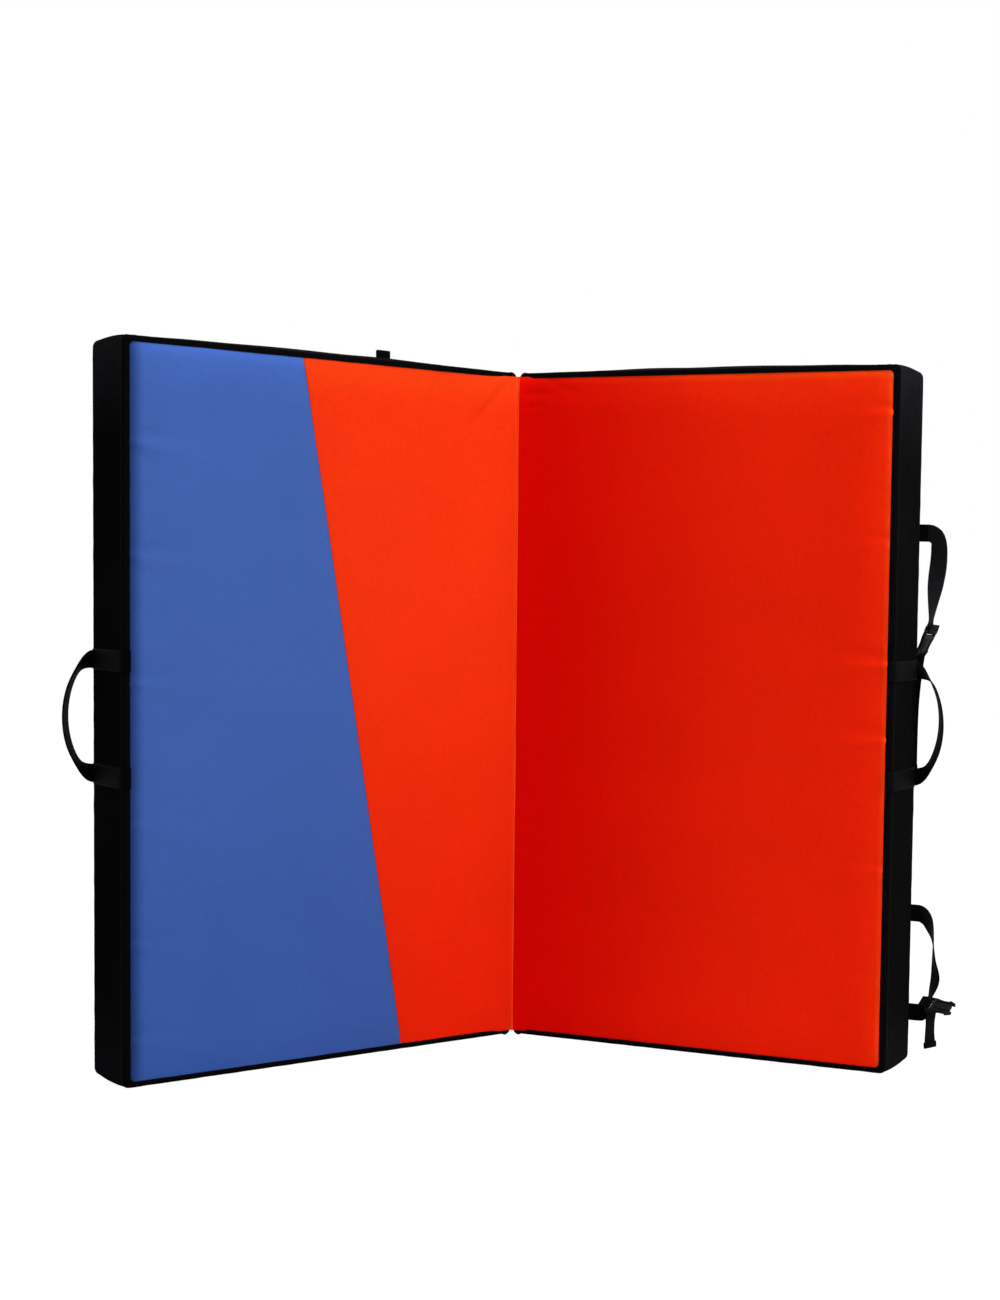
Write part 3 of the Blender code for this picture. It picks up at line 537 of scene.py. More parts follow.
def shell(front, thick_step):
    """A closed thin body from a grid of points and the step from each to its inner side."""
    rows = len(front)
    columns = len(front[0])
    outer, faces = skin_rows(front, ring=False)
    total = len(outer)
    inner = [tuple(a + b for a, b in zip(p, thick_step(n))) for n, p in enumerate(outer)]
    faces += [tuple(total + k for k in reversed(face)) for face in faces]
    rim = list(range(columns))
    rim += [r * columns + columns - 1 for r in range(1, rows)]
    rim += [total - 1 - c for c in range(1, columns)]
    rim += [r * columns for r in range(rows - 2, 0, -1)]
    for k, a in enumerate(rim):
        b = rim[(k + 1) % len(rim)]
        faces.append((a, b, total + b, total + a))
    return outer + inner, faces


def smooth_path(rows, step):
    """Points about a step apart on a smooth curve through rows of numbers, the place first."""
    out = []
    last = len(rows) - 1
    for i in range(last):
        four = (rows[max(i - 1, 0)], rows[i], rows[i + 1], rows[min(i + 2, last)])
        length = (Vector(four[2][:3]) - Vector(four[1][:3])).length
        count = max(1, round(length / step))
        for k in range(count):
            t = k / count
            weights = (
                (-t + 2 * t ** 2 - t ** 3) / 2,
                (2 - 5 * t ** 2 + 3 * t ** 3) / 2,
                (t + 4 * t ** 2 - 3 * t ** 3) / 2,
                (t ** 3 - t ** 2) / 2,
            )
            out.append(tuple(sum(w * v for w, v in zip(weights, column)) for column in zip(*four)))
    out.append(tuple(rows[last]))
    return out


# Half of a strap's rounded section: share of its half width and of its half thickness
WEB_SECTION_shares = ((-1.0, 0.0), (-0.985, 0.6), (-0.93, 0.95), (-0.8, 0.9), (-0.4, 1.0), (0.0, 0.95),
                      (0.4, 1.0), (0.8, 0.9), (0.93, 0.95), (0.985, 0.6))


def web_rows(path, width, thick):
    """Rounded sections along a strap, and each point's place across and along it in metres."""
    section = list(WEB_SECTION_shares) + [(-s, -t) for s, t in WEB_SECTION_shares]
    rows = []
    uvs = []
    run = 0.0
    for k, row in enumerate(path):
        centre = Vector(row[:3])
        before = Vector(path[max(k - 1, 0)][:3])
        after = Vector(path[min(k + 1, len(path) - 1)][:3])
        run += (centre - before).length
        across = Vector(row[3:6]).normalized()
        deep = (after - before).cross(across).normalized()
        rows.append([tuple(centre + across * s * width / 2 + deep * t * thick / 2) for s, t in section])
        uvs += [((s + 1) * width / 2, run) for s, t in section]
    return rows, uvs


def webbing(half, name, rows, body=None, nodes=(), width=WEB_WIDTH, thick=WEB_THICK, step=WEB_STEP,
            look="black_webbing"):
    """A strap through rows of place and width direction."""
    path = smooth_path(rows, step)
    sections, uvs = web_rows(path, width, thick)
    half.piece(name, skin_rows(sections), look, body, nodes, uvs)


def stitches(half, name, lines, body=None):
    """Short threads along lines of points, each a small pinched bead of four sides."""
    beads = []
    for line in lines:
        spots = smooth_path(line, STITCH_PITCH)
        for here, there in zip(spots, spots[1:]):
            start = Vector(here)
            run = (Vector(there) - start).normalized()
            side = run.orthogonal().normalized()
            rise = run.cross(side)
            rows = []
            for along, girth in ((0.0, 0.3), (0.5, 1.0), (1.0, 0.3)):
                middle = start + run * STITCH_LONG * along
                rows.append([tuple(middle + (side * a + rise * b) * STITCH_RADIUS * girth)
                             for a, b in ((1, 0), (0, 1), (-1, 0), (0, -1))])
            beads.append(skin_rows(rows))
    half.piece(name, joined(*beads), "black_thread", body)


def corner_points(which, inset):
    """A rounded corner of the outline: points (u, z) with their outward directions."""
    outer = which in (1, 2)
    upper = which in (0, 1)
    u = HALF_WIDTH - CORNER if outer else HINGE_CLEAR + CORNER
    z = HEIGHT - CORNER if upper else CORNER
    start = math.pi - which * math.pi / 2
    out = []
    for k in range(CORNER_STEPS + 1):
        t = start - math.pi / 2 * k / CORNER_STEPS
        n = (math.cos(t), math.sin(t))
        out.append(((u + n[0] * (CORNER - inset), z + n[1] * (CORNER - inset)), n))
    return out


def outline_run(corners, arcs=True, inset=0.0, step=WALL_STEP):
    """The outline past some corners, with straight stretches cut into steps."""
    spots = []
    for n, which in enumerate(corners):
        arc = corner_points(which, inset)
        if not arcs:
            arc = arc[-1:] if n == 0 else arc[:1]
        if spots:
            (a, na), (b, nb) = spots[-1], arc[0]
            count = max(1, round(math.dist(a, b) / step))
            for k in range(1, count):
                t = k / count
                spots.append(((a[0] + (b[0] - a[0]) * t, a[1] + (b[1] - a[1]) * t), nb))
        spots += arc
    return spots


def runs_along(spots):
    """How far along an outline each of its spots lies."""
    runs = [0.0]
    for before, spot in zip(spots, spots[1:]):
        runs.append(runs[-1] + math.dist(spot[0], before[0]))
    return runs


def ripple(u, v, size, seed):
    return noise.noise(Vector((u / size, v / size, seed)))


def within(share):
    return min(1.0, max(0.0, share))


def bulged(share):
    """A wall's fullness between its seams."""
    return max(0.0, math.sin(math.pi * share)) ** 0.7


def add_wall(half, name, corners, arcs, bulge, front=WALL_FRONT):
    """One side wall: tight at both seams, fuller between them, with short gathers at the seams."""
    depths = [front + (WALL_BACK - front) * k / WALL_ROWS for k in range(WALL_ROWS + 1)]
    spots = outline_run(corners, arcs)
    grid = []
    for ((u, z), n), run in zip(spots, runs_along(spots)):
        row = []
        reach = 1.0 if arcs else math.sin(math.pi * within(u / HALF_WIDTH)) ** 0.6
        for r in depths:
            share = (r - front) / (WALL_BACK - front)
            swell = bulge * reach * bulged(share)
            wave = ripple(run, r, WALL_WAVE_LONG, 3.1)
            swell += bulge * WALL_WAVE_share * reach * wave * math.sin(math.pi * share)
            edge = math.exp(-min(share, 1 - share) / GATHER_FADE_share)
            gather = bulge * GATHER_share * edge * ripple(run, 0.0, GATHER_WIDE, 8.0 + round(share))
            out = swell + gather - GAP
            row.append((u + n[0] * out, r, max(GAP / 2, z + n[1] * out)))
        grid.append(row)
    normals = [n for _, n in spots]

    def inward(index):
        n = normals[index // len(depths)]
        return (-n[0] * SKIN, 0.0, -n[1] * SKIN)

    half.piece(name, shell(grid, inward), "black_fabric", nodes=(name,))


def add_walls(half):
    add_wall(half, "outer_wall", (1, 2), True, WALL_BULGE)
    add_wall(half, "hinge_wall", (3, 0), True, WALL_BULGE * 0.1, HINGE_WALL_FRONT)
    add_wall(half, "top_wall", (0, 1), False, TOP_BULGE)
    add_wall(half, "bottom_wall", (2, 3), False, WALL_BULGE * 0.1)


def binding_rows(spots, depth_of, sign):
    """Sections of a folded binding along the outline, as rings."""
    rows = []
    for ((u, z), n), run in zip(spots, runs_along(spots)):
        puff = BINDING_PUFF * ripple(run, 0.0, BINDING_PUFF_LONG, 5.0)
        ring = []
        turns = [math.pi / 2 * step / BINDING_STEPS for step in range(BINDING_STEPS + 1)]
        for radius, order in ((BINDING_RADIUS + puff, turns), (BINDING_RADIUS - SKIN, turns[::-1])):
            legs = []
            for t in order:
                inset = GAP + BINDING_RADIUS - radius * math.sin(t)
                depth = depth_of + sign * (BINDING_RADIUS - radius * math.cos(t))
                legs.append((u - n[0] * inset, depth, z - n[1] * inset))
            inset = GAP + BINDING_RADIUS + BINDING_LEG
            depth = depth_of + sign * (BINDING_RADIUS - radius)
            leg = (u - n[0] * inset, depth, z - n[1] * inset)
            if n[0] * n[1]:
                away = inset + FACE_CORNER - CORNER
                leg = (u - n[0] * (CORNER - FACE_CORNER) - math.copysign(away, n[0]), depth,
                       z - n[1] * (CORNER - FACE_CORNER) - math.copysign(away, n[1]))
            ring += [leg] + legs if order[0] == 0 else legs + [leg]
        rows.append(ring)
    return rows


def crease_tip(ring, line, share):
    """A binding's last section, drawn in by a share to a tip at the crease on the face's edge line."""
    tall = 0.4 + 0.6 * share
    return [(u * share, EDGE_DEPTH + (r - EDGE_DEPTH) * tall, line + (z - line) * tall) for u, r, z in ring]


def add_bindings(half):
    """Folded tape over the front and rear seams; the front one is open along the hinge."""
    rows = binding_rows(outline_run((0, 1, 2, 3))[2:-2], EDGE_DEPTH, 1)
    top_tip = [crease_tip(rows[0], FACE_TOP, share) for share in (0.08, 0.55)]
    low_tip = [crease_tip(rows[-1], PANEL_INSET, share) for share in (0.55, 0.08)]
    rows = top_tip + rows + low_tip
    half.piece("front_binding", skin_rows(rows), "black_tape", nodes=("front_binding",))
    rows = binding_rows(outline_run((0, 1, 2, 3, 0))[:-CORNER_STEPS], THICKNESS, -1)
    half.piece("rear_binding", skin_rows(rows, caps=False), "black_tape", nodes=("rear_binding",))
    lines = []
    for r in (WALL_FRONT + WALL_SEAM, WALL_BACK - WALL_SEAM):
        lines.append([(u + n[0] * SEAM_RISE, r, z + n[1] * SEAM_RISE) for (u, z), n in outline_run((1, 2))])
    stitches(half, "wall_stitches", lines)


def seam_at(z):
    return SEAM_AT_BOTTOM + (SEAM_AT_TOP - SEAM_AT_BOTTOM) * z / HEIGHT


# Gathers along the outer edge of each landing face: height and strength as shares
PUCKER_shares = {
    "left": ((0.869, 1.0), (0.719, 0.7), (0.551, 0.6), (0.36, 0.4), (0.2, 0.5), (0.07, 0.4)),
    "right": ((0.942, 0.6), (0.591, 0.9), (0.485, 0.8), (0.76, 0.4), (0.3, 0.5), (0.14, 0.4)),
}

# Waves at both ends of the crease: height, length over one radian and slant
CREASE_WAVES = {"left": (0.0017, 0.016, 1.1), "right": (0.0010, 0.009, 0.0)}

# Folds near the top of the crease: each end as distance from the hinge and below the top, then
# the fold's depth and half its width
FOLDS = {
    "left": (
        ((0.010, 0.010), (0.082, 0.090), 0.0038, 0.0055),
        ((0.004, 0.060), (0.040, 0.110), 0.0018, 0.0050),
        ((0.120, 0.012), (0.150, 0.060), 0.0010, 0.0080),
    ),
    "right": (
        ((0.008, 0.034), (0.065, 0.031), 0.0028, 0.0045),
        ((0.006, 0.054), (0.050, 0.049), 0.0024, 0.0045),
        ((0.050, 0.014), (0.110, 0.040), 0.0012, 0.0070),
    ),
}


def fold_depth(half, u, z):
    """How far the folds press the cloth in at a place."""
    spot = Vector((u, HEIGHT - z))
    depth = 0.0
    for start, end, deep, wide in FOLDS[half.name]:
        run = Vector(end) - Vector(start)
        along = within((spot - Vector(start)).dot(run) / run.length_squared)
        off = (spot - Vector(start) - run * along).length
        depth += deep * math.sin(math.pi * (0.15 + 0.85 * along)) ** 0.5 * math.exp(-(off / wide) ** 2)
    return depth * min(1.0, u / CREASE_FADE)


def landing_depth(half, u, z):
    """How deep the landing face lies at a place: crown, rolled edges and broad unevenness."""
    across = u / HALF_WIDTH
    up = 2 * z / HEIGHT - 1
    from_hinge = 1 - math.exp(-u / ROLL)
    crown = (1 - across ** 4) * (1 - up ** 4)
    depth = FACE_FRONT + (CROWN_SAG * (1 - crown) + SLACK) * from_hinge
    end_share = 0.12 + 0.88 * min(1.0, u / ROLL)
    flat = 1.0
    for distance, roll_share in ((HALF_WIDTH - u, 1.0), (HEIGHT - z, end_share), (z, end_share)):
        share = within(1 - (distance - PANEL_INSET) / ROLL)
        flat *= 1 - roll_share * (1 - math.sqrt(1 - share ** 2))
    depth += (CLOTH_EDGE - depth) * (1 - flat)
    depth += HINGE_ROLL / 8 * max(0.0, 1 - u / HINGE_ROLL) ** 2
    for end in (HEIGHT - z, z):
        depth += CORNER_DROP * math.exp(-(HALF_WIDTH - u + end - PANEL_INSET * 2) / (ROLL * 0.7))
    seed = 1.0 if half.sign > 0 else 4.0
    depth += 0.0016 * max(0.0, ripple(u, z, 0.16, seed)) + 0.0005 * ripple(u, z, 0.06, seed)
    return max(depth, FACE_FRONT)


def gathers(half, u, z):
    """Short pulls from the outer seam, small gathers along all seams and folds near the crease ends."""
    inward = max(0.0, HALF_WIDTH - u - PANEL_INSET)
    depth = 0.0
    for place, strength in PUCKER_shares[half.name]:
        off = z - place * HEIGHT
        valley = math.exp(-(off / (PUCKER_WIDE + inward * 0.2)) ** 2 - inward / PUCKER_LONG)
        beside = off + PUCKER_WIDE * 2.4 + inward * 0.15
        ridge = math.exp(-(beside / (PUCKER_WIDE * 1.5 + inward * 0.14)) ** 2 - inward / RIDGE_LONG)
        depth += PUCKER_DEPTH * strength * (valley - ridge * 0.75) * min(1.0, inward / 0.003)
    for distance, along in ((HALF_WIDTH - u, z), (HEIGHT - z, u + 7.0), (z, u + 3.0)):
        near = max(0.0, distance - PANEL_INSET)
        fade = math.exp(-near / GATHER_FADE)
        depth += GATHER_DEEP * ripple(along, 0.0, GATHER_LONG, 2.0) * fade * min(1.0, near / 0.002)
    size, long, slant = CREASE_WAVES[half.name]
    for below in (HEIGHT - z, z):
        phase = (below - u * slant) / long
        fade = math.exp(-u / 0.07 - below / 0.10)
        depth += size * math.sin(phase) * fade * min(1.0, u / 0.01, below / 0.02)
    depth += fold_depth(half, u, z)
    if half.sign < 0:
        depth += SEAM_DIP * math.exp(-abs(u - seam_at(z)) / SEAM_DIP_WIDE)
    return depth


def add_landing(half, name, look, inner, outer):
    """A landing cushion: a crowned cloth between two edges, swelled by a short simulation."""
    low = PANEL_INSET
    rows = round((HEIGHT - low - low) / FACE_GRID)
    columns = round((outer(HEIGHT) - inner(HEIGHT)) / FACE_GRID)
    shares = [0.0, 0.15, 0.5]
    along = shares + list(range(1, rows)) + [rows - s for s in reversed(shares)]
    over = shares + list(range(1, columns)) + [columns - s for s in reversed(shares)]
    grid = []
    for j in along:
        z = low + (HEIGHT - low - low) * j / rows
        row = []
        for i in over:
            u = inner(z) + (outer(z) - inner(z)) * i / columns
            row.append((u, landing_depth(half, u, z), z))
        grid.append(row)
    points, faces = skin_rows(grid, ring=False)
    width = len(over)
    edge = {n for n in range(len(points)) if n % width in (0, width - 1)}
    edge |= set(range(width)) | set(range(len(points) - width, len(points)))
    made = half.piece(name, (points, faces), look)
    if made.data.polygons[0].normal.y > 0:
        made.data.flip_normals()
    swell(made, edge)
    finish_landing(half, made, name)


CLOTH_SETTINGS = {
    "quality": 4,
    "mass": 0.3,
    "tension_stiffness": 40,
    "compression_stiffness": 8,
    "bending_stiffness": 0.8,
    "vertex_group_mass": "seams",
    "shrink_min": -0.0006,
    "use_pressure": True,
    "uniform_pressure_force": 0.6,
}


def swell(piece, edge):
    """Let the cloth settle under a little pressure, held at its seams, and cap how far it moves."""
    mesh = piece.data
    start = [v.co.copy() for v in mesh.vertices]
    group = piece.vertex_groups.new(name="seams")
    group.add(sorted(edge), 1.0, "REPLACE")
    cloth = piece.modifiers.new("Cloth", "CLOTH")
    for setting, value in CLOTH_SETTINGS.items():
        setattr(cloth.settings, setting, value)
    cloth.settings.effector_weights.gravity = 0.0
    cloth.collision_settings.use_collision = False
    scene = bpy.context.scene
    for number in range(CLOTH_FRAMES):
        scene.frame_set(number + 1)
    graph = bpy.context.evaluated_depsgraph_get()
    moved_to = [v.co.copy() for v in piece.evaluated_get(graph).data.vertices]
    piece.modifiers.remove(cloth)
    scene.frame_set(1)
    for v, old, new in zip(mesh.vertices, start, moved_to):
        step = new - old
        if step.length > SWELL_CAP:
            step *= SWELL_CAP / step.length
        v.co = old + step


def finish_landing(half, piece, name):
    finer = piece.modifiers.new("Smooth", "SUBSURF")
    finer.levels = 1
    finer.render_levels = 1
    finer.boundary_smooth = "PRESERVE_CORNERS"
    graph = bpy.context.evaluated_depsgraph_get()
    smooth = bpy.data.meshes.new_from_object(piece.evaluated_get(graph))
    piece.modifiers.remove(finer)
    piece.data = smooth
    for v in smooth.vertices:
        depth = v.co.y + gathers(half, v.co.x * half.sign, v.co.z)
        v.co.y = min(max(depth, FACE_FRONT), DEEPEST)
    solid = piece.modifiers.new("Thickness", "SOLIDIFY")
    solid.thickness = SKIN / 2
    solid.offset = -1.0
    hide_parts(f"{half.name}_{name}")


def hinge_edge(z):
    return 0.0


def outer_edge(z):
    return HALF_WIDTH - PANEL_INSET


def add_back_panel(half):
    """The back of the cover: nearly flat, sunk in a little with a soft ripple."""
    low = PANEL_INSET
    columns = round((HALF_WIDTH - low - low) / BACK_GRID)
    rows = round((HEIGHT - low - low) / BACK_GRID)
    grid = []
    for j in range(rows + 1):
        z = low + (HEIGHT - low - low) * j / rows
        row = []
        for i in range(columns + 1):
            u = low + (HALF_WIDTH - low - low) * i / columns
            sag = 0.0006 + 0.0005 * ripple(u, z, 0.09, 6.0)
            row.append((u, THICKNESS - sag, z))
        grid.append(row)
    shape = shell(grid, lambda index: (0.0, -SKIN / 2, 0.0))
    half.piece("back_panel", shape, "black_fabric", nodes=("back_panel",))


def add_cover(half):
    add_walls(half)
    add_bindings(half)
    add_back_panel(half)
    if half.sign > 0:
        # The right face is a redder copy of the orange fabric, as painted shade
        add_landing(half, "landing_panel", "orange_fabric_painted_shade", hinge_edge, outer_edge)
    else:
        add_landing(half, "landing_orange", "orange_fabric", hinge_edge, lambda z: seam_at(z) - GAP / 2)
        add_landing(half, "landing_blue", "blue_fabric", lambda z: seam_at(z) + GAP / 2, outer_edge)


# How webbing hangs, row by row: out, back and down as shares of its reach, drift and height, then
# its width's tilt from upright and its turn from outward to rearward, as shares of a quarter turn
UPPER_LOOP_shares = (
    (0.00, 0.00, 0.000, 0.00, 0.0), (0.38, 0.02, 0.008, 0.14, 0.0), (0.78, 0.05, 0.045, 0.44, 0.0),
    (0.95, 0.10, 0.105, 0.72, 0.0), (1.00, 0.18, 0.190, 0.94, 0.0), (0.92, 0.32, 0.330, 1.00, 0.12),
    (0.70, 0.52, 0.510, 1.00, 0.4), (0.44, 0.75, 0.730, 1.00, 0.8), (0.24, 0.95, 0.920, 1.00, 1.05),
)
UPPER_TAIL_shares = (
    (-1.35, 1.00, 0.00, 1.00, 0.3), (-1.60, 0.85, 0.14, 1.00, 0.1), (-1.75, 0.30, 0.42, 1.00, 0.0),
    (-1.80, 0.15, 0.70, 1.00, 0.0), (-1.80, 0.15, 1.00, 1.00, 0.0),
)
LOWER_LOOP_shares = (
    (0.00, 0.0, 0.00, 0.00, 0.9), (0.30, 0.0, 0.03, 0.22, 0.9), (0.58, 0.0, 0.12, 0.62, 0.95),
    (0.78, 0.0, 0.29, 1.00, 1.15), (0.86, 0.0, 0.52, 1.00, 1.3), (0.94, 0.0, 0.79, 1.00, 1.52),
)
LOWER_TAIL_shares = (
    (1.00, 0.0, 0.00, 1.00, 0.75), (0.95, 0.0, 0.35, 1.00, 0.86), (0.93, 0.0, 0.70, 1.00, 0.84),
    (0.98, 0.0, 1.00, 1.00, 0.75),
)
SHOULDER_shares = (
    (0.0, 0.0), (0.12, 0.25), (0.3, 0.72), (0.5, 1.0), (0.7, 0.95), (0.88, 0.62), (1.0, 0.42),
)


def hanging_rows(start, spans, shares):
    """Rows of place and width direction for hanging webbing."""
    rows = []
    for out, back, down, tilt, turn in shares:
        lean = tilt * math.pi / 2
        swing = turn * math.pi / 2
        place = (start[0] + spans[0] * out, start[1] + spans[1] * back, start[2] - spans[2] * down)
        across = (math.sin(lean) * math.cos(swing), math.sin(lean) * math.sin(swing), math.cos(lean))
        rows.append((*place, *across))
    return rows


def cut_plate(drawings, thick, bevel):
    """A flat plate cut to closed drawings, inner ones left open, with its edges rounded."""
    line = bpy.data.curves.new("drawing", "CURVE")
    line.dimensions = "2D"
    line.fill_mode = "BOTH"
    line.extrude = thick / 2 - bevel
    line.bevel_depth = bevel
    line.bevel_resolution = 2
    line.offset = -bevel
    for drawing in drawings:
        spline = line.splines.new("POLY")
        spline.points.add(len(drawing) - 1)
        for point, (x, y) in zip(spline.points, drawing):
            point.co = (x, y, 0.0, 1.0)
        spline.use_cyclic_u = True
    holder = bpy.data.objects.new("drawing", line)
    mesh = bpy.data.meshes.new_from_object(holder)
    points = [tuple(v.co) for v in mesh.vertices]
    faces = [tuple(face.vertices) for face in mesh.polygons]
    bpy.data.objects.remove(holder)
    bpy.data.meshes.remove(mesh)
    return points, faces


def moved(shape, place):
    points, faces = shape
    return [tuple(place @ Vector(p)) for p in points], faces


def joined(*shapes):
    points = []
    faces = []
    for more, their in shapes:
        faces += [tuple(len(points) + k for k in face) for face in their]
        points += more
    return points, faces


def rectangle(x, y, round_by=0.0, steps=3):
    """A rectangle's points, with rounded corners."""
    out = []
    for cx, cy, start in ((x[1], y[1], 0), (x[0], y[1], 1), (x[0], y[0], 2), (x[1], y[0], 3)):
        middle_x = cx - math.copysign(round_by, cx - x[0] - x[1] + cx)
        middle_y = cy - math.copysign(round_by, cy + cy - y[0] - y[1])
        for k in range(steps + 1 if round_by else 1):
            t = math.pi / 2 * (start + (k / steps if round_by else 0))
            out.append((middle_x + round_by * math.cos(t), middle_y + round_by * math.sin(t)))
    return out


def tube(points, radius):
    rows = []
    last = len(points) - 1
    turns = [math.tau * n / TUBE_SIDES for n in range(TUBE_SIDES)]
    side = None
    for k, point in enumerate(points):
        run = (Vector(points[min(k + 1, last)]) - Vector(points[max(k - 1, 0)])).normalized()
        side = (side - run * side.dot(run)).normalized() if side else run.orthogonal().normalized()
        rise = run.cross(side)
        rows.append([tuple(Vector(point) + (side * math.cos(t) + rise * math.sin(t)) * radius)
                     for t in turns])
    return skin_rows(rows)


UPRIGHT = Matrix.Rotation(math.pi / 2, 4, "X")
UP = (0.0, 0.0, 1.0)
OUTWARD = (1.0, 0.0, 0.0)


def stood(shape, x, r, z):
    """A flat shape stood up parallel to the back, at a place."""
    return moved(shape, Matrix.Translation((x, r, z)) @ UPRIGHT)


def boxed_cross(u, z, r):
    """The usual square of stitching with a cross in it, at one depth."""
    u = (u[0] + CROSS_INSET, u[1] - CROSS_INSET)
    z = (z[0] + CROSS_INSET, z[1] - CROSS_INSET)
    corners = [(u[0], r, z[0]), (u[1], r, z[0]), (u[1], r, z[1]), (u[0], r, z[1])]
    lines = [[a, b] for a, b in zip(corners, corners[1:] + corners[:1])]
    return lines + [[corners[0], corners[2]], [corners[1], corners[3]]]


def add_sewn_tab(half, name, u, z, lift=0.0):
    """Flat webbing sewn to the back, with its square and cross of stitches; a lifted end bends up."""
    r = THICKNESS + GAP + WEB_THICK / 2
    rows = [(place, r, z, *UP) for place in (u[0], sum(u) / 2, u[1] - lift * 2)]
    if lift:
        rows += [(u[1] - lift, r, z + lift * 0.2, -0.25, 0.0, 1.0), (u[1], r, z + lift, -0.7, 0.0, 1.0)]
    webbing(half, name, rows, nodes=(name,))
    tall = (z - WEB_WIDTH / 2, z + WEB_WIDTH / 2)
    lines = boxed_cross((u[0], u[0] + WEB_WIDTH * 1.5), tall, r + WEB_THICK / 2)
    stitches(half, f"{name}_stitches", lines)


def prong_buckle():
    """The plugging half of a side-release buckle, strap end at zero, two springing prongs below."""
    half_wide = BUCKLE_WIDE / 2
    slot_end = BUCKLE_BAR + BUCKLE_SLOT
    base = slot_end + BUCKLE_BAR * 1.7
    tip = BUCKLE_LONG
    side = [
        (0.0, -tip * 0.90), (BUCKLE_GUIDE * 0.8, -tip * 0.90), (BUCKLE_GUIDE, -tip * 0.84),
        (BUCKLE_GUIDE, -base),
        (half_wide * 0.56, -base), (half_wide * 0.62, -tip * 0.55), (half_wide * 0.62, -tip * 0.8),
        (half_wide * 0.56, -tip * 0.95), (half_wide * 0.62, -tip), (half_wide * 0.78, -tip * 0.97),
        (half_wide, -tip * 0.80), (half_wide, -tip * 0.77), (half_wide * 0.62 + BUCKLE_PRONG, -tip * 0.72),
        (half_wide * 0.62 + BUCKLE_PRONG, -tip * 0.52), (half_wide, -base + BUCKLE_BAR * 0.3),
        (half_wide, -BUCKLE_BAR * 0.4), (half_wide - BUCKLE_BAR * 0.4, 0.0),
    ]
    drawing = side + [(-x, z) for x, z in reversed(side[1:])]
    slot = rectangle((BUCKLE_BAR - half_wide, half_wide - BUCKLE_BAR), (-slot_end, -BUCKLE_BAR), SLOT_ROUND)
    plate = moved(cut_plate([drawing, slot], BUCKLE_THICK, PLATE_BEVEL), UPRIGHT)
    ridge_z = -slot_end - BUCKLE_BAR * 0.85
    ridge = tube([(-half_wide * 0.8, 0.0, ridge_z), (half_wide * 0.8, 0.0, ridge_z)], BUCKLE_THICK * 0.62)
    return joined(plate, ridge)


def wrapped_rows(place, leg):
    """Webbing that goes round a buckle's bar and is sewn back on itself."""
    wide = place.to_3x3() @ Vector((1.0, 0.0, 0.0))
    off = BUCKLE_THICK / 2 + WEB_THICK / 2 + GAP
    route = ((off, leg * 0.25), (off, -BUCKLE_BAR / 2), (0.0, -BUCKLE_BAR - WEB_THICK * 0.8),
             (-off, -BUCKLE_BAR / 2), (-off, leg * 0.3), (-off * 0.75, leg))
    return [(*(place @ Vector((0.0, y, z))), *wide) for y, z in route]


def add_closing_strap(half, level, at, spans, shares, buckle, tail_start, tail_spans, tail_shares):
    name = f"{level}_strap"
    axis = (HALF_WIDTH + STRAP_LIP, THICKNESS + GAP + WEB_THICK / 2, at)
    centre = (axis[0] + buckle[0], axis[1] + buckle[1], at - buckle[2])
    turn = Matrix.Rotation(buckle[3], 4, "Y") @ Matrix.Rotation(buckle[4], 4, "Z")
    place = Matrix.Translation(centre) @ turn
    rows = hanging_rows(axis, spans, shares) + wrapped_rows(place, WRAP_LONG)
    look = "lit_webbing" if level == "upper" else "black_webbing"
    webbing(half, name, rows, name, (name,), look=look)
    buckle_shape = moved(prong_buckle(), place)
    half.piece(f"{name}_buckle", buckle_shape, "black_plastic", name, (f"{name}_buckle",))
    tail = hanging_rows((axis[0], axis[1], tail_start), tail_spans, tail_shares)
    webbing(half, f"{name}_tail", tail, name, (f"{name}_tail",))
    end = Vector(tail[-1][:3])
    back = (Vector(tail[-2][:3]) - end).normalized() * HEM_TALL
    hem = [(*(end + back * k), *tail[-1][3:]) for k in (1.0, 0.5, -0.05)]
    webbing(half, f"{name}_hem", hem, name, width=WEB_WIDTH * HEM_WIDER_share, thick=HEM_THICK)


def add_closing_straps(half):
    patch = (HALF_WIDTH - STRAP_PATCH_LONG, HALF_WIDTH + STRAP_LIP + 0.0004)
    add_sewn_tab(half, "upper_strap_anchor", patch, UPPER_STRAP_AT)
    add_sewn_tab(half, "lower_strap_anchor", patch, LOWER_STRAP_AT)
    tab = (patch[0], HALF_WIDTH + RETURN_TAB_LIP + RETURN_TAB_LIFT)
    add_sewn_tab(half, "lower_strap_return_tab", tab, RETURN_TAB_AT, RETURN_TAB_LIFT)
    under = UPPER_STRAP_AT - UPPER_BUCKLE[2] - BUCKLE_LONG * math.cos(UPPER_BUCKLE[3]) + WEB_THICK * 3
    add_closing_strap(half, "upper", UPPER_STRAP_AT, UPPER_SPANS, UPPER_LOOP_shares, UPPER_BUCKLE,
                      under, UPPER_TAIL_SPANS, UPPER_TAIL_shares)
    under = LOWER_STRAP_AT - LOWER_BUCKLE[2] - BUCKLE_WIDE / 2 * math.cos(LOWER_BUCKLE[4])
    add_closing_strap(half, "lower", LOWER_STRAP_AT, LOWER_SPANS, LOWER_LOOP_shares, LOWER_BUCKLE,
                      under, LOWER_TAIL_SPANS, LOWER_TAIL_shares)


def wall_out(r):
    """How far the outer wall stands out at a depth."""
    share = (r - WALL_FRONT) / (WALL_BACK - WALL_FRONT)
    return WALL_BULGE * bulged(within(share))


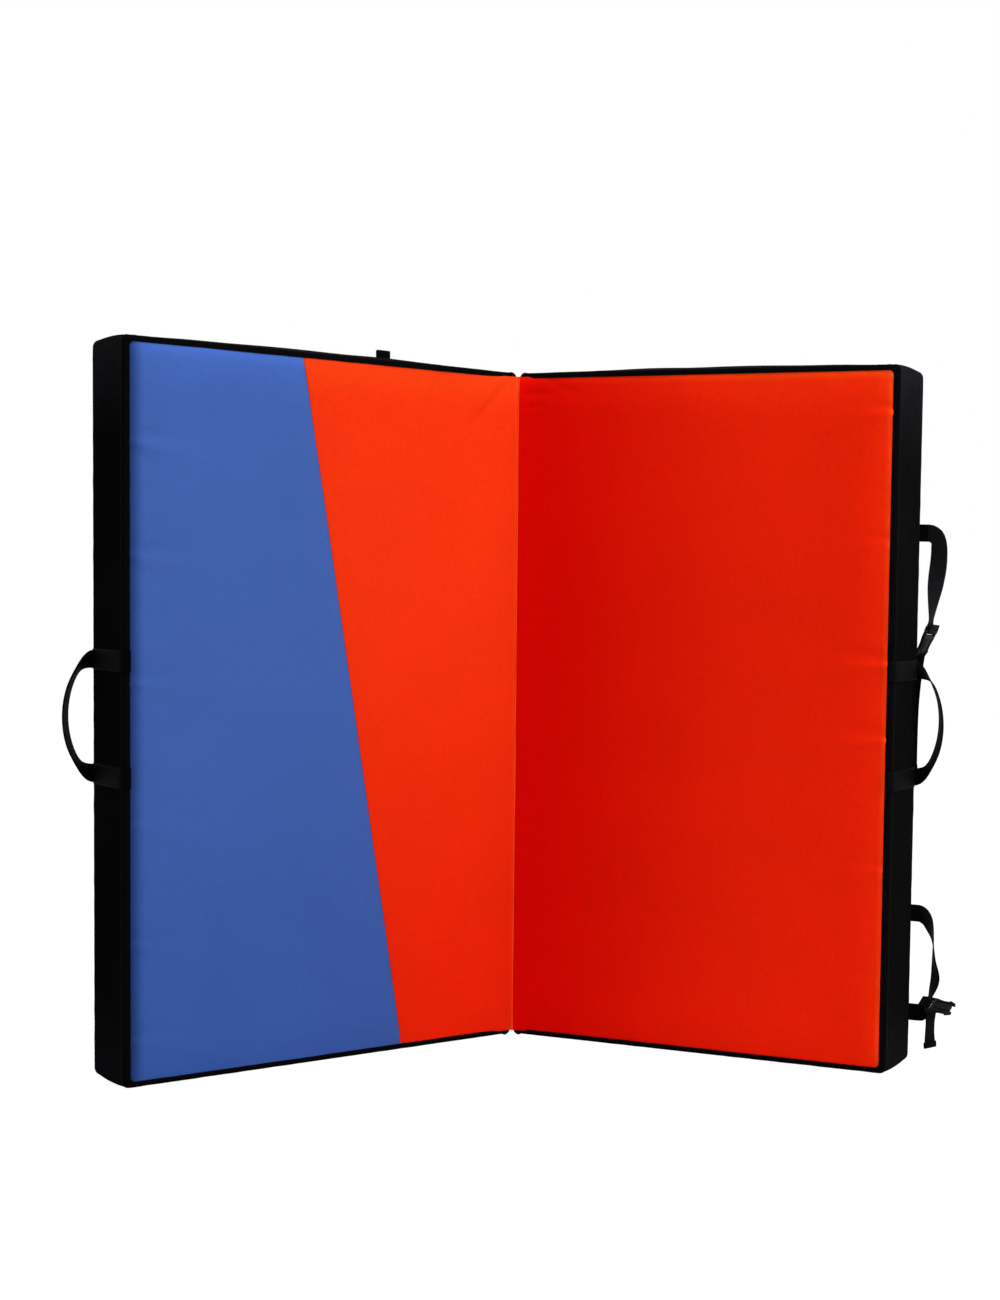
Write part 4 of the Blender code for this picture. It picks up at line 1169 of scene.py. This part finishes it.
def add_handle_patch(half, name, z, leave, look):
    """Webbing that wraps the front edge and crosses the wall, with its seams and cross of stitches."""
    lip = PATCH_LIP[half.name]
    wrap = ((-lip, 0.0030), (-lip * 0.7, 0.0034), (-0.0018, 0.0050), (0.0008, 0.0092))
    rows = [(HALF_WIDTH + u, r, z, *UP) for u, r in wrap]
    for k in range(6):
        r = WALL_FRONT + PATCH_STEP + (leave + PATCH_OVERLAP - WALL_FRONT - PATCH_STEP) * k / 5
        rows.append((HALF_WIDTH + GAP + WEB_THICK / 2 + wall_out(r), r, z, *UP))
    webbing(half, name, rows, nodes=(name,), width=HANDLE_PATCH_TALL, look=look)

    def sewn(r, side, lift):
        return (HALF_WIDTH + WEB_THICK + wall_out(r) + lift, r, z + HANDLE_PATCH_TALL * 0.42 * side)

    near, far = (leave - off for off in PATCH_CROSS)
    lines = [[sewn(r, -1, 0.0004), sewn(r, 1, 0.0004)] for r in (WALL_FRONT + PATCH_FRONT_SEAM, near, far)]
    for a, b in ((-1, 1), (1, -1), (-1, -1), (1, 1)):
        lines.append([sewn(near, a, 0.0005), sewn(far, b, 0.0005)])
    stitches(half, f"{name}_stitches", lines)


def add_handle(half):
    """Two patches and the twisted loop that leaves them."""
    middle = HEIGHT / 2 - HANDLE_UNDER_MIDDLE
    leave = THICKNESS - HANDLE_FROM_BACK
    # The left handle's webbing is a darker copy of the black webbing, as painted shade
    look = "black_webbing" if half.sign > 0 else "webbing_painted_shade"
    for name, sign in (("top", 1), ("bottom", -1)):
        add_handle_patch(half, f"handle_patch_{name}", middle + sign * HANDLE_SPAN / 2, leave, look)
    axis_u = HALF_WIDTH + SURFACE + GAP + GAP
    reach = HANDLE_REACH - SURFACE - GAP - GAP
    high_twist = HANDLE_HIGH_TWIST[half.name]
    low_twist = HANDLE_LOW_TWIST[half.name]
    rows = []
    for k in range(17):
        turn = math.pi * (k / 16 - 1 / 2)
        twist = high_twist + (low_twist - high_twist) * (1 - math.sin(turn)) / 2
        level = Vector((-math.sin(twist), math.cos(twist), 0.0))
        tilt = math.pi / 2 * min(1.0, 1.6 * math.cos(turn))
        sense = -1.0 if turn > 0 and half.sign < 0 else 1.0
        across = level * math.sin(tilt) + Vector((0.0, 0.0, sense * math.cos(tilt)))
        z = middle + HANDLE_SPAN / 2 * math.sin(turn)
        out = reach * abs(math.cos(turn)) ** HANDLE_PEAK_POWER
        rows.append((axis_u + out, leave, z, *across))
    webbing(half, "handle_loop", rows, f"{half.name}_handle", ("handle_loop",), look=look)


def receiver_shape(low, mid, high, at):
    """The receiving half of a side-release buckle: two walls, a slotted rail, a stop and two posts."""
    mouth = RECEIVER_MOUTH
    root = mouth - RECEIVER_LONG
    wide = RECEIVER_WIDE / 2
    inner = RECEIVER_THICK - RECEIVER_WALL
    near, far = (root + off for off in RECEIVER_SIDE_FROM)
    lip, notch = mouth - RECEIVER_LIP, mouth - RECEIVER_NOTCH
    cut = wide - RECEIVER_CUT
    side = [(near, wide), (far, cut), (far, -cut), (near, -wide), (lip, -wide), (mouth, -cut),
            (notch, -wide / 3), (notch, wide / 3), (mouth, cut), (lip, wide)]
    plate = cut_plate([side], RECEIVER_WALL, WALL_BEVEL)
    shapes = [stood(plate, 0.0, r, at) for r in (low + RECEIVER_WALL / 2, high - RECEIVER_WALL / 2)]
    rim = rectangle((root, root + RECEIVER_RAIL), (-wide, wide), RECEIVER_CUT)
    web = WEB_WIDTH / 2 + RECEIVER_SLOT_ROOM
    slot = rectangle([root + off for off in RECEIVER_SLOT], (-web, web), SLOT_ROUND)
    shapes.append(stood(cut_plate([rim, slot], RECEIVER_THICK * 0.5, SOFT_BEVEL), 0.0, mid, at))
    stop = rectangle([root + off for off in RECEIVER_STOP], (-wide + 0.001, wide - 0.001), 0.002)
    shapes.append(stood(cut_plate([stop], inner, PLATE_BEVEL), 0.0, mid, at))
    posts = [mouth - off for off in RECEIVER_POSTS]
    for z in (-wide + RECEIVER_POST_OFF, wide - RECEIVER_POST_OFF):
        post = rectangle(posts, (z - RECEIVER_POST, z + RECEIVER_POST), SLOT_ROUND)
        shapes.append(stood(cut_plate([post], inner, POST_BEVEL), 0.0, mid, at))
    return joined(*shapes)


def add_receiver(half, level, at):
    """Webbing sewn to the back and folded round the bar of a buckle's receiving half."""
    hinge = RECEIVER_HINGE
    anchor = (hinge - STRAP_PATCH_LONG / 2, hinge + RECEIVER_WEB_SEAM)
    add_sewn_tab(half, f"{level}_receiver_anchor", anchor, at)
    low = THICKNESS + SURFACE + GAP
    high = low + RECEIVER_THICK
    mid = (low + high) / 2
    body = f"{level}_receiver"
    half.piece(body, receiver_shape(low, mid, high, at), "black_plastic", body, (body,))
    lie = low + WEB_THICK / 2
    root = RECEIVER_MOUTH - RECEIVER_LONG
    route = ((hinge - 0.001, lie), (hinge + 0.005, lie + 0.0002), (root, mid - 0.0042),
             (root + 0.005, mid - 0.0040), (root + 0.0095, mid), (root + 0.005, mid + 0.0044),
             (root - 0.002, mid + 0.0030), (hinge + 0.004, lie + 0.0026), (hinge, lie + 0.0024))
    webbing(half, f"{level}_receiver_web", [(u, r, at, *UP) for u, r in route], body)


def add_strap_pad(half, name, x, rows, body):
    """The padded part of a shoulder strap with its piping and the webbing along its middle."""
    part = f"{name}_shoulder_strap"
    path = smooth_path(rows, SHOULDER_STEP)
    rings = []
    edges = ([], [])
    spine = []
    total = len(path) - 1
    for k, (r, z, wide, thick) in enumerate(path):
        before, after = path[max(k - 1, 0)], path[min(k + 1, total)]
        run = Vector((0.0, after[0] - before[0], after[1] - before[1])).normalized()
        normal = Vector((0.0, -run.z, run.y))
        if normal.y < 0:
            normal = -normal
        ring = []
        for n in range(SHOULDER_SIDES):
            t = math.tau * n / SHOULDER_SIDES
            c, s = math.cos(t), math.sin(t)
            a = math.copysign(abs(c) ** 0.8, c)
            b = math.copysign(abs(s) ** 0.75, s)
            gather = 1 + 0.06 * abs(c) * noise.noise(Vector((k * 0.45, 3.0 if c > 0 else 7.0, x * 40)))
            crease = 1 - 0.05 * max(0.0, noise.noise(Vector((k * 0.12, t, x * 9))))
            place = Vector((x + a * wide / 2, r, z)) + normal * (b * thick / 2 * gather * crease)
            ring.append(tuple(place))
        rings.append(ring)
        for edge, sign in zip(edges, (-1, 1)):
            edge.append((x + sign * wide / 2, r, z))
        spine.append((*(Vector((x, r, z)) + normal * (thick / 2 + WEB_THICK / 2)), *OUTWARD))
    pad = half.piece(part, skin_rows(rings), "black_fabric", body, (part,))
    for edge, which in zip(edges, ("near", "far")):
        half.piece(f"{part}_piping_{which}", tube(edge, PIPING_RADIUS), "black_tape", body)
    webbing(half, f"{part}_web", spine[::3] + [spine[-1]], body)
    lines = []
    for sign in (-1, 1):
        lines.append([(p[0] + sign * WEB_WIDTH * 0.42, p[1] + WEB_THICK * 0.5, p[2]) for p in spine[4:-3:3]])
    stitches(half, f"{part}_stitches", lines, body=body)


def add_shoulder_strap(half, name, x):
    r = THICKNESS + GAP + WEB_THICK / 2
    lie = THICKNESS + SURFACE + GAP + WEB_THICK / 2
    top = HIGH_ANCHOR_AT + ANCHOR_TALL / 2
    for part, low in (("strap_anchor", HIGH_ANCHOR_AT), ("webbing_anchor", LOW_ANCHOR_AT)):
        rows = [(x, r, low + ANCHOR_TALL * k / 2, *OUTWARD) for k in range(3)]
        webbing(half, f"{name}_{part}", rows, nodes=(f"{name}_{part}",), width=ANCHOR_WIDE)
        u = (x - ANCHOR_WIDE / 2, x + ANCHOR_WIDE / 2)
        lines = boxed_cross(u, (low, low + ANCHOR_TALL), r + WEB_THICK / 2 + 0.0001)
        stitches(half, f"{name}_{part}_stitches", lines)
    rows = [(lie, top, NECK_WIDE, WEB_THICK), (lie, top - NECK_LONG / 2, NECK_WIDE, WEB_THICK)]
    for along, off in SHOULDER_shares:
        end = along in (0.0, 1.0)
        size = (NECK_WIDE, SHOULDER_THICK / 2) if end else (SHOULDER_WIDE, SHOULDER_THICK)
        z = top - NECK_LONG - SHOULDER_LONG * along
        rows.append((lie + SHOULDER_THICK / 2 + SHOULDER_STAND_OFF * off, z, *size))
    body = f"{name}_shoulder"
    add_strap_pad(half, name, x, rows, body)

    foot_r, foot_z = rows[-1][:2]
    lock_z = foot_z - LOCK_TALL / 2 - GAP - GAP
    across = (-LOCK_WIDE / 2, LOCK_WIDE / 2)
    spans = ((LOCK_RIM - LOCK_TALL / 2, -LOCK_RIM / 2), (LOCK_RIM / 2, LOCK_TALL / 2 - LOCK_RIM))
    slots = [rectangle((across[0] + LOCK_RIM, across[1] - LOCK_RIM), span, SLOT_ROUND) for span in spans]
    rim = rectangle(across, (-LOCK_TALL / 2, LOCK_TALL / 2), LOCK_RIM)
    plate = cut_plate([rim] + slots, LOCK_THICK, SOFT_BEVEL)
    lip = tube([(end * 0.8, LOCK_LIP_BACK, -LOCK_TALL * 0.46) for end in across], LOCK_LIP_RADIUS)
    shape = joined(moved(plate, UPRIGHT), lip)
    shape = moved(shape, Matrix.Translation((x, foot_r, lock_z)))
    half.piece(f"{name}_ladder_lock", shape, "black_plastic", body, (f"{name}_ladder_lock",))

    low = LOW_ANCHOR_AT + ANCHOR_TALL / 2
    leave = LOW_ANCHOR_AT + ANCHOR_TALL
    high = lock_z - LOCK_TALL / 2 - GAP
    off = LOCK_THICK / 2 + WEB_THICK
    route = [(lie, low), (lie, leave), (lie + (foot_r - lie) * 0.45, (leave + high) / 2)]
    route += [(foot_r - off, high), (foot_r - off * 0.6, high + LOCK_RIM * 1.6),
              (foot_r, lock_z + LOCK_RIM * 0.9), (foot_r + off * 0.8, lock_z - LOCK_RIM * 1.2),
              (foot_r + off, high), (foot_r + off * 0.7, high - WEB_ENDS_BELOW[0]),
              (foot_r + off * 0.3, high - WEB_ENDS_BELOW[1])]
    part = f"{name}_lower_webbing"
    webbing(half, part, [(x, y, z, *OUTWARD) for y, z in route], f"{name}_webbing", (part,))


def add_zip_tape(half, low, high, r):
    """Two woven strips with the coil's teeth between them."""
    x = ZIP_FROM_HINGE
    strips = []
    lines = []
    for sign in (-1, 1):
        rows = []
        for k in range(TAPE_STEPS + 1):
            z = low + (high - low) * k / TAPE_STEPS
            inner = x + sign * TAPE_SPLIT
            outer = x + sign * ZIP_TAPE_WIDE / 2 + TAPE_WAVE * ripple(z, sign, TAPE_WAVE_LONG, 2.0)
            below, above = r - ZIP_TAPE_THICK / 2, r + ZIP_TAPE_THICK / 2
            rows.append([(inner, below, z), (outer, below, z), (outer, above, z), (inner, above, z)])
        strips.append(skin_rows(rows))
        edge = x + sign * ZIP_TAPE_WIDE * 0.42
        lines.append([(edge, r + 0.0005, z) for z in (low + 0.004, high - 0.004)])
    half.piece("zip_tape", joined(*strips), "black_tape", nodes=("zip_tape",))
    stitches(half, "zip_stitches", lines)
    teeth = []
    for k in range(int((high - low) / TOOTH_PITCH)):
        sign = 1 if k % 2 else -1
        z = low + TOOTH_PITCH * (k + 0.5)
        teeth.append(skin_rows([[(x + sign * out, r + TEETH_RISE + rise, z + run * 0.75)
                                 for run, rise in TOOTH_SECTION] for out in TOOTH_ENDS]))
    half.piece("zip_teeth", joined(*teeth), "zip_coil")


def add_zip_slider(half, roof, at):
    """The slider's plate with its two flanges and its bridge."""
    x = ZIP_FROM_HINGE
    foot = THICKNESS + GAP + ZIP_TAPE_THICK + GAP
    wide = SLIDER_WIDE / 2
    tall = SLIDER_TALL / 2
    side = [(wide * 0.55, -tall), (wide * 0.7, -tall * 0.2), (wide, tall * 0.55), (wide * 0.75, tall),
            (wide * 0.2, tall)]
    outline = [(-side[0][0], side[0][1])] + side + [(0.0, tall * 0.8)] + [(-a, b) for a, b in side[:0:-1]]
    shapes = [stood(cut_plate([outline], SLIDER_PLATE, SLIDER_BEVEL), x, roof, at)]
    for sign in (-1, 1):
        rim = [(sign * wide * 0.92, -tall * 0.15), (sign * wide * 0.95, tall * 0.5),
               (sign * wide * 0.72, tall * 0.5), (sign * wide * 0.72, -tall * 0.15)]
        flange = cut_plate([rim], roof - foot + SLIDER_FLANGE, FINE_BEVEL)
        shapes.append(stood(flange, x, (roof + foot) / 2, at))
    turns = [math.pi * k / 8 for k in range(9)]
    arch = [(x, roof + BRIDGE_RADIUS + BRIDGE_HIGH * math.sin(t), at + tall * 0.55 * math.cos(t))
            for t in turns]
    shapes.append(tube(arch, BRIDGE_RADIUS))
    half.piece("zip_slider", joined(*shapes), "zip_metal", f"{half.name}_slider", ("zip_slider",))


def add_zip_pull(half, roof, at):
    """The slider's pull, with its eye and its slot."""
    wide = PULL_WIDE / 2
    outline = [(wide * math.sin(t) * 0.95, -wide + wide * math.cos(t)) for t in (0.0, 0.5, 1.0, 1.4)]
    outline += [(wide * 0.72, -PULL_LONG * 0.4), (wide, -PULL_LONG * 0.75),
                (wide * 0.9, -PULL_LONG * 0.96), (wide * 0.5, -PULL_LONG)]
    outline += [(-a, b) for a, b in reversed(outline[1:])]
    turns = [math.tau * k / 12 for k in range(12)]
    eye = [(PULL_EYE[0] * math.cos(t), PULL_EYE_AT + PULL_EYE[1] * math.sin(t)) for t in turns]
    sides = (-PULL_SLOT_WIDE / 2, PULL_SLOT_WIDE / 2)
    slot = rectangle(sides, (-PULL_LONG * 0.88, -PULL_LONG * 0.55), SLOT_ROUND)
    plate = cut_plate([outline, eye, slot], PULL_THICK, FINE_BEVEL)
    pull = stood(plate, ZIP_FROM_HINGE, roof + PULL_OFF + GAP + PULL_THICK / 2, at)
    half.piece("zip_pull", pull, "zip_metal", f"{half.name}_pull", ("zip_pull",))


def add_zip(half):
    """The foam zip, down the back near the hinge."""
    low, high = ZIP_END_MARGIN, HEIGHT - ZIP_END_MARGIN
    add_zip_tape(half, low, high, THICKNESS + GAP + ZIP_TAPE_THICK / 2)
    at = low + SLIDER_FROM_END + SLIDER_TALL / 2
    roof = THICKNESS + GAP + SLIDER_RISE + GAP + PULL_OFF
    add_zip_slider(half, roof, at)
    add_zip_pull(half, roof, at)


def add_top_tab(half):
    """A folded piece of webbing that stands above the rear top edge."""
    r = THICKNESS - TAB_FROM_BACK
    off = TAB_LEG_OFF
    x = TAB_FROM_HINGE
    route = [(-off, -0.001), (-off, TAB_TALL * 0.5), (-off * 1.2, TAB_TALL * 0.9)]
    route += [(0.0, TAB_TALL - TAB_THICK / 2)]
    route += [(off * 1.2, TAB_TALL * 0.9), (off, TAB_TALL * 0.5), (off, -0.001)]
    rows = [(x, r + a, HEIGHT + b, *OUTWARD) for a, b in route]
    webbing(half, "top_tab", rows, nodes=("top_tab",), width=TAB_WIDE, thick=TAB_THICK, step=0.0025)
    line = [(x + end * TAB_WIDE * 0.4, r - off - TAB_THICK / 2, HEIGHT + TAB_SEAM_AT) for end in (-1, 1)]
    stitches(half, "top_tab_stitches", [line])


def add_hinge_seam(half):
    """The welt that joins the two covers on the fold axis."""
    low, high = PANEL_INSET, HEIGHT - PANEL_INSET
    line = [(0.0, WELT_AT + 0.0002 * ripple(k, 0, 9.0, 1.0), low + (high - low) * k / 120)
            for k in range(121)]
    half.piece("hinge_seam", tube(line, WELT_RADIUS), "welt_fabric", nodes=("hinge_seam",))


def foam_row(inset, r):
    """The outline at an inset and a depth, as a closed ring."""
    spots = outline_run((0, 1, 2, 3, 0), inset=inset, step=FOAM_STEP)
    return [(u, r, z) for (u, z), _ in spots[:-CORNER_STEPS - 1]]


def add_foam(half):
    """Three foam layers fill the cover; cut edges clear the bindings and sharp ones are a little worn."""
    front = EDGE_DEPTH + SKIN + GAP
    back = THICKNESS - SKIN - GAP
    core = front + FOAM_TOP + GAP
    base = back - FOAM_BASE
    inset = SKIN + GAP + GAP
    cut_inset = BINDING_RADIUS + GAP
    cut = BINDING_RADIUS - SKIN - GAP
    worn = (inset + FOAM_WORN, FOAM_WORN)
    for name, look, low, high, front_edge, back_edge in (
        ("foam_top", "firm_foam", front, front + FOAM_TOP, (cut_inset, cut), worn),
        ("foam_core", "soft_foam", core, base - GAP, worn, worn),
        ("foam_base", "firm_foam", base, back, worn, (cut_inset, cut)),
    ):
        rows = [foam_row(front_edge[0], low)]
        rows += [foam_row(inset, low + front_edge[1]), foam_row(inset, high - back_edge[1])]
        rows += [foam_row(back_edge[0], high)]
        made = half.piece(name, skin_rows(rows), look, nodes=(name,))


def add_camera():
    """The photograph's camera, turned from the fit's frame into the pad's."""
    data = bpy.data.cameras.new("photo_camera")
    camera = new_object("photo_camera", data)
    cr, sr = math.cos(CAMERA_ROLL), math.sin(CAMERA_ROLL)
    cp, sp = math.cos(CAMERA_PITCH), math.sin(CAMERA_PITCH)
    right = Vector((cr, -sr * sp, sr * cp))
    up = Vector((-sr, -cr * sp, cr * cp))
    back = Vector((0.0, -cp, -sp))
    turn = Matrix((right, up, back)).transposed().to_4x4()
    place = Vector((-CENTRE_SHIFT, HINGE_BACK, 0.0)) + CAMERA_FROM_HINGE
    camera.matrix_world = Matrix.Translation(place) @ Matrix.Rotation(CAMERA_YAW, 4, "Z") @ turn
    data.sensor_fit = "AUTO"
    data.sensor_width = SENSOR
    data.lens = SENSOR * FOCAL_PIXELS / PHOTO_TALL
    data.shift_x = (PHOTO_WIDE / 2 - CENTRE_PIXEL[0]) / PHOTO_TALL
    data.shift_y = (CENTRE_PIXEL[1] - PHOTO_TALL / 2) / PHOTO_TALL
    bpy.context.scene.camera = camera


def area_light(name, place, power):
    data = bpy.data.lights.new(name, "AREA")
    data.shape = "SQUARE"
    data.size = LIGHT_SIZE
    data.energy = power
    lamp = new_object(name, data)
    lamp.location = place
    lamp.rotation_euler = (Vector(LIGHT_TARGET) - Vector(place)).to_track_quat("-Z", "Y").to_euler()


def white_for_camera(nodes, surface, level, share):
    """Mix a surface with plain white where the camera, a reflection or a refraction sees it."""
    path = nodes.add("ShaderNodeLightPath")
    seen = path.outputs["Is Camera Ray"]
    for other in ("Is Glossy Ray", "Is Transmission Ray"):
        seen = nodes.compute("MAXIMUM", seen, path.outputs[other])
    part = nodes.compute("MULTIPLY", seen, share)
    white = nodes.add("ShaderNodeEmission", {"Strength": level}).outputs[0]
    return nodes.add("ShaderNodeMixShader", {0: part, 1: surface, 2: white}).outputs[0]


def add_studio():
    """White floor and world, a large key light from the right front, a weak fill and one from above."""
    mesh = bpy.data.meshes.new("floor")
    corners = [(-FLOOR_REACH, -FLOOR_REACH), (FLOOR_REACH, -FLOOR_REACH), (FLOOR_REACH, FLOOR_REACH),
               (-FLOOR_REACH, FLOOR_REACH)]
    mesh.from_pydata([(x, y, 0.0) for x, y in corners], [], [(0, 1, 2, 3)])
    floor = new_object("floor", mesh)
    floor.location = (0.0, 0.0, -FLOOR_BELOW)
    nodes = Nodes(bpy.data.materials.new("floor_white"))
    plain = {"Base Color": (0.9, 0.9, 0.9, 1.0), "Roughness": 0.9, "Specular IOR Level": 0.0}
    nodes.fill(nodes.shader, plain)
    white = white_for_camera(nodes, nodes.shader.outputs[0], 1.20, 0.8)
    nodes.fill(nodes.tree.nodes["Material Output"], {"Surface": white})
    mesh.materials.append(nodes.owner)

    world = bpy.data.worlds.new("studio")
    bpy.context.scene.world = world
    nodes = Nodes(world)
    nodes.tree.nodes.clear()
    glow = nodes.add("ShaderNodeBackground", {"Strength": WORLD_STRENGTH}).outputs[0]
    out = nodes.add("ShaderNodeOutputWorld")
    nodes.fill(out, {"Surface": white_for_camera(nodes, glow, 1.0, 1.0)})
    for name, place, power in LIGHTS:
        area_light(name, place, power)


bpy.context.scene.view_settings.view_transform = "Standard"
add_camera()
RIGHT = Half("right", 1)
LEFT = Half("left", -1)
for side in (RIGHT, LEFT):
    add_foam(side)
    add_cover(side)
    add_handle(side)
    add_zip(side)
add_hinge_seam(RIGHT)
add_closing_straps(RIGHT)
add_receiver(LEFT, "upper", UPPER_STRAP_AT)
add_receiver(LEFT, "lower", LOWER_STRAP_AT)
add_shoulder_strap(LEFT, "inner", HALF_WIDTH / 2 - SHOULDER_SPACING / 2)
add_shoulder_strap(LEFT, "outer", HALF_WIDTH / 2 + SHOULDER_SPACING / 2)
add_top_tab(LEFT)
add_studio()
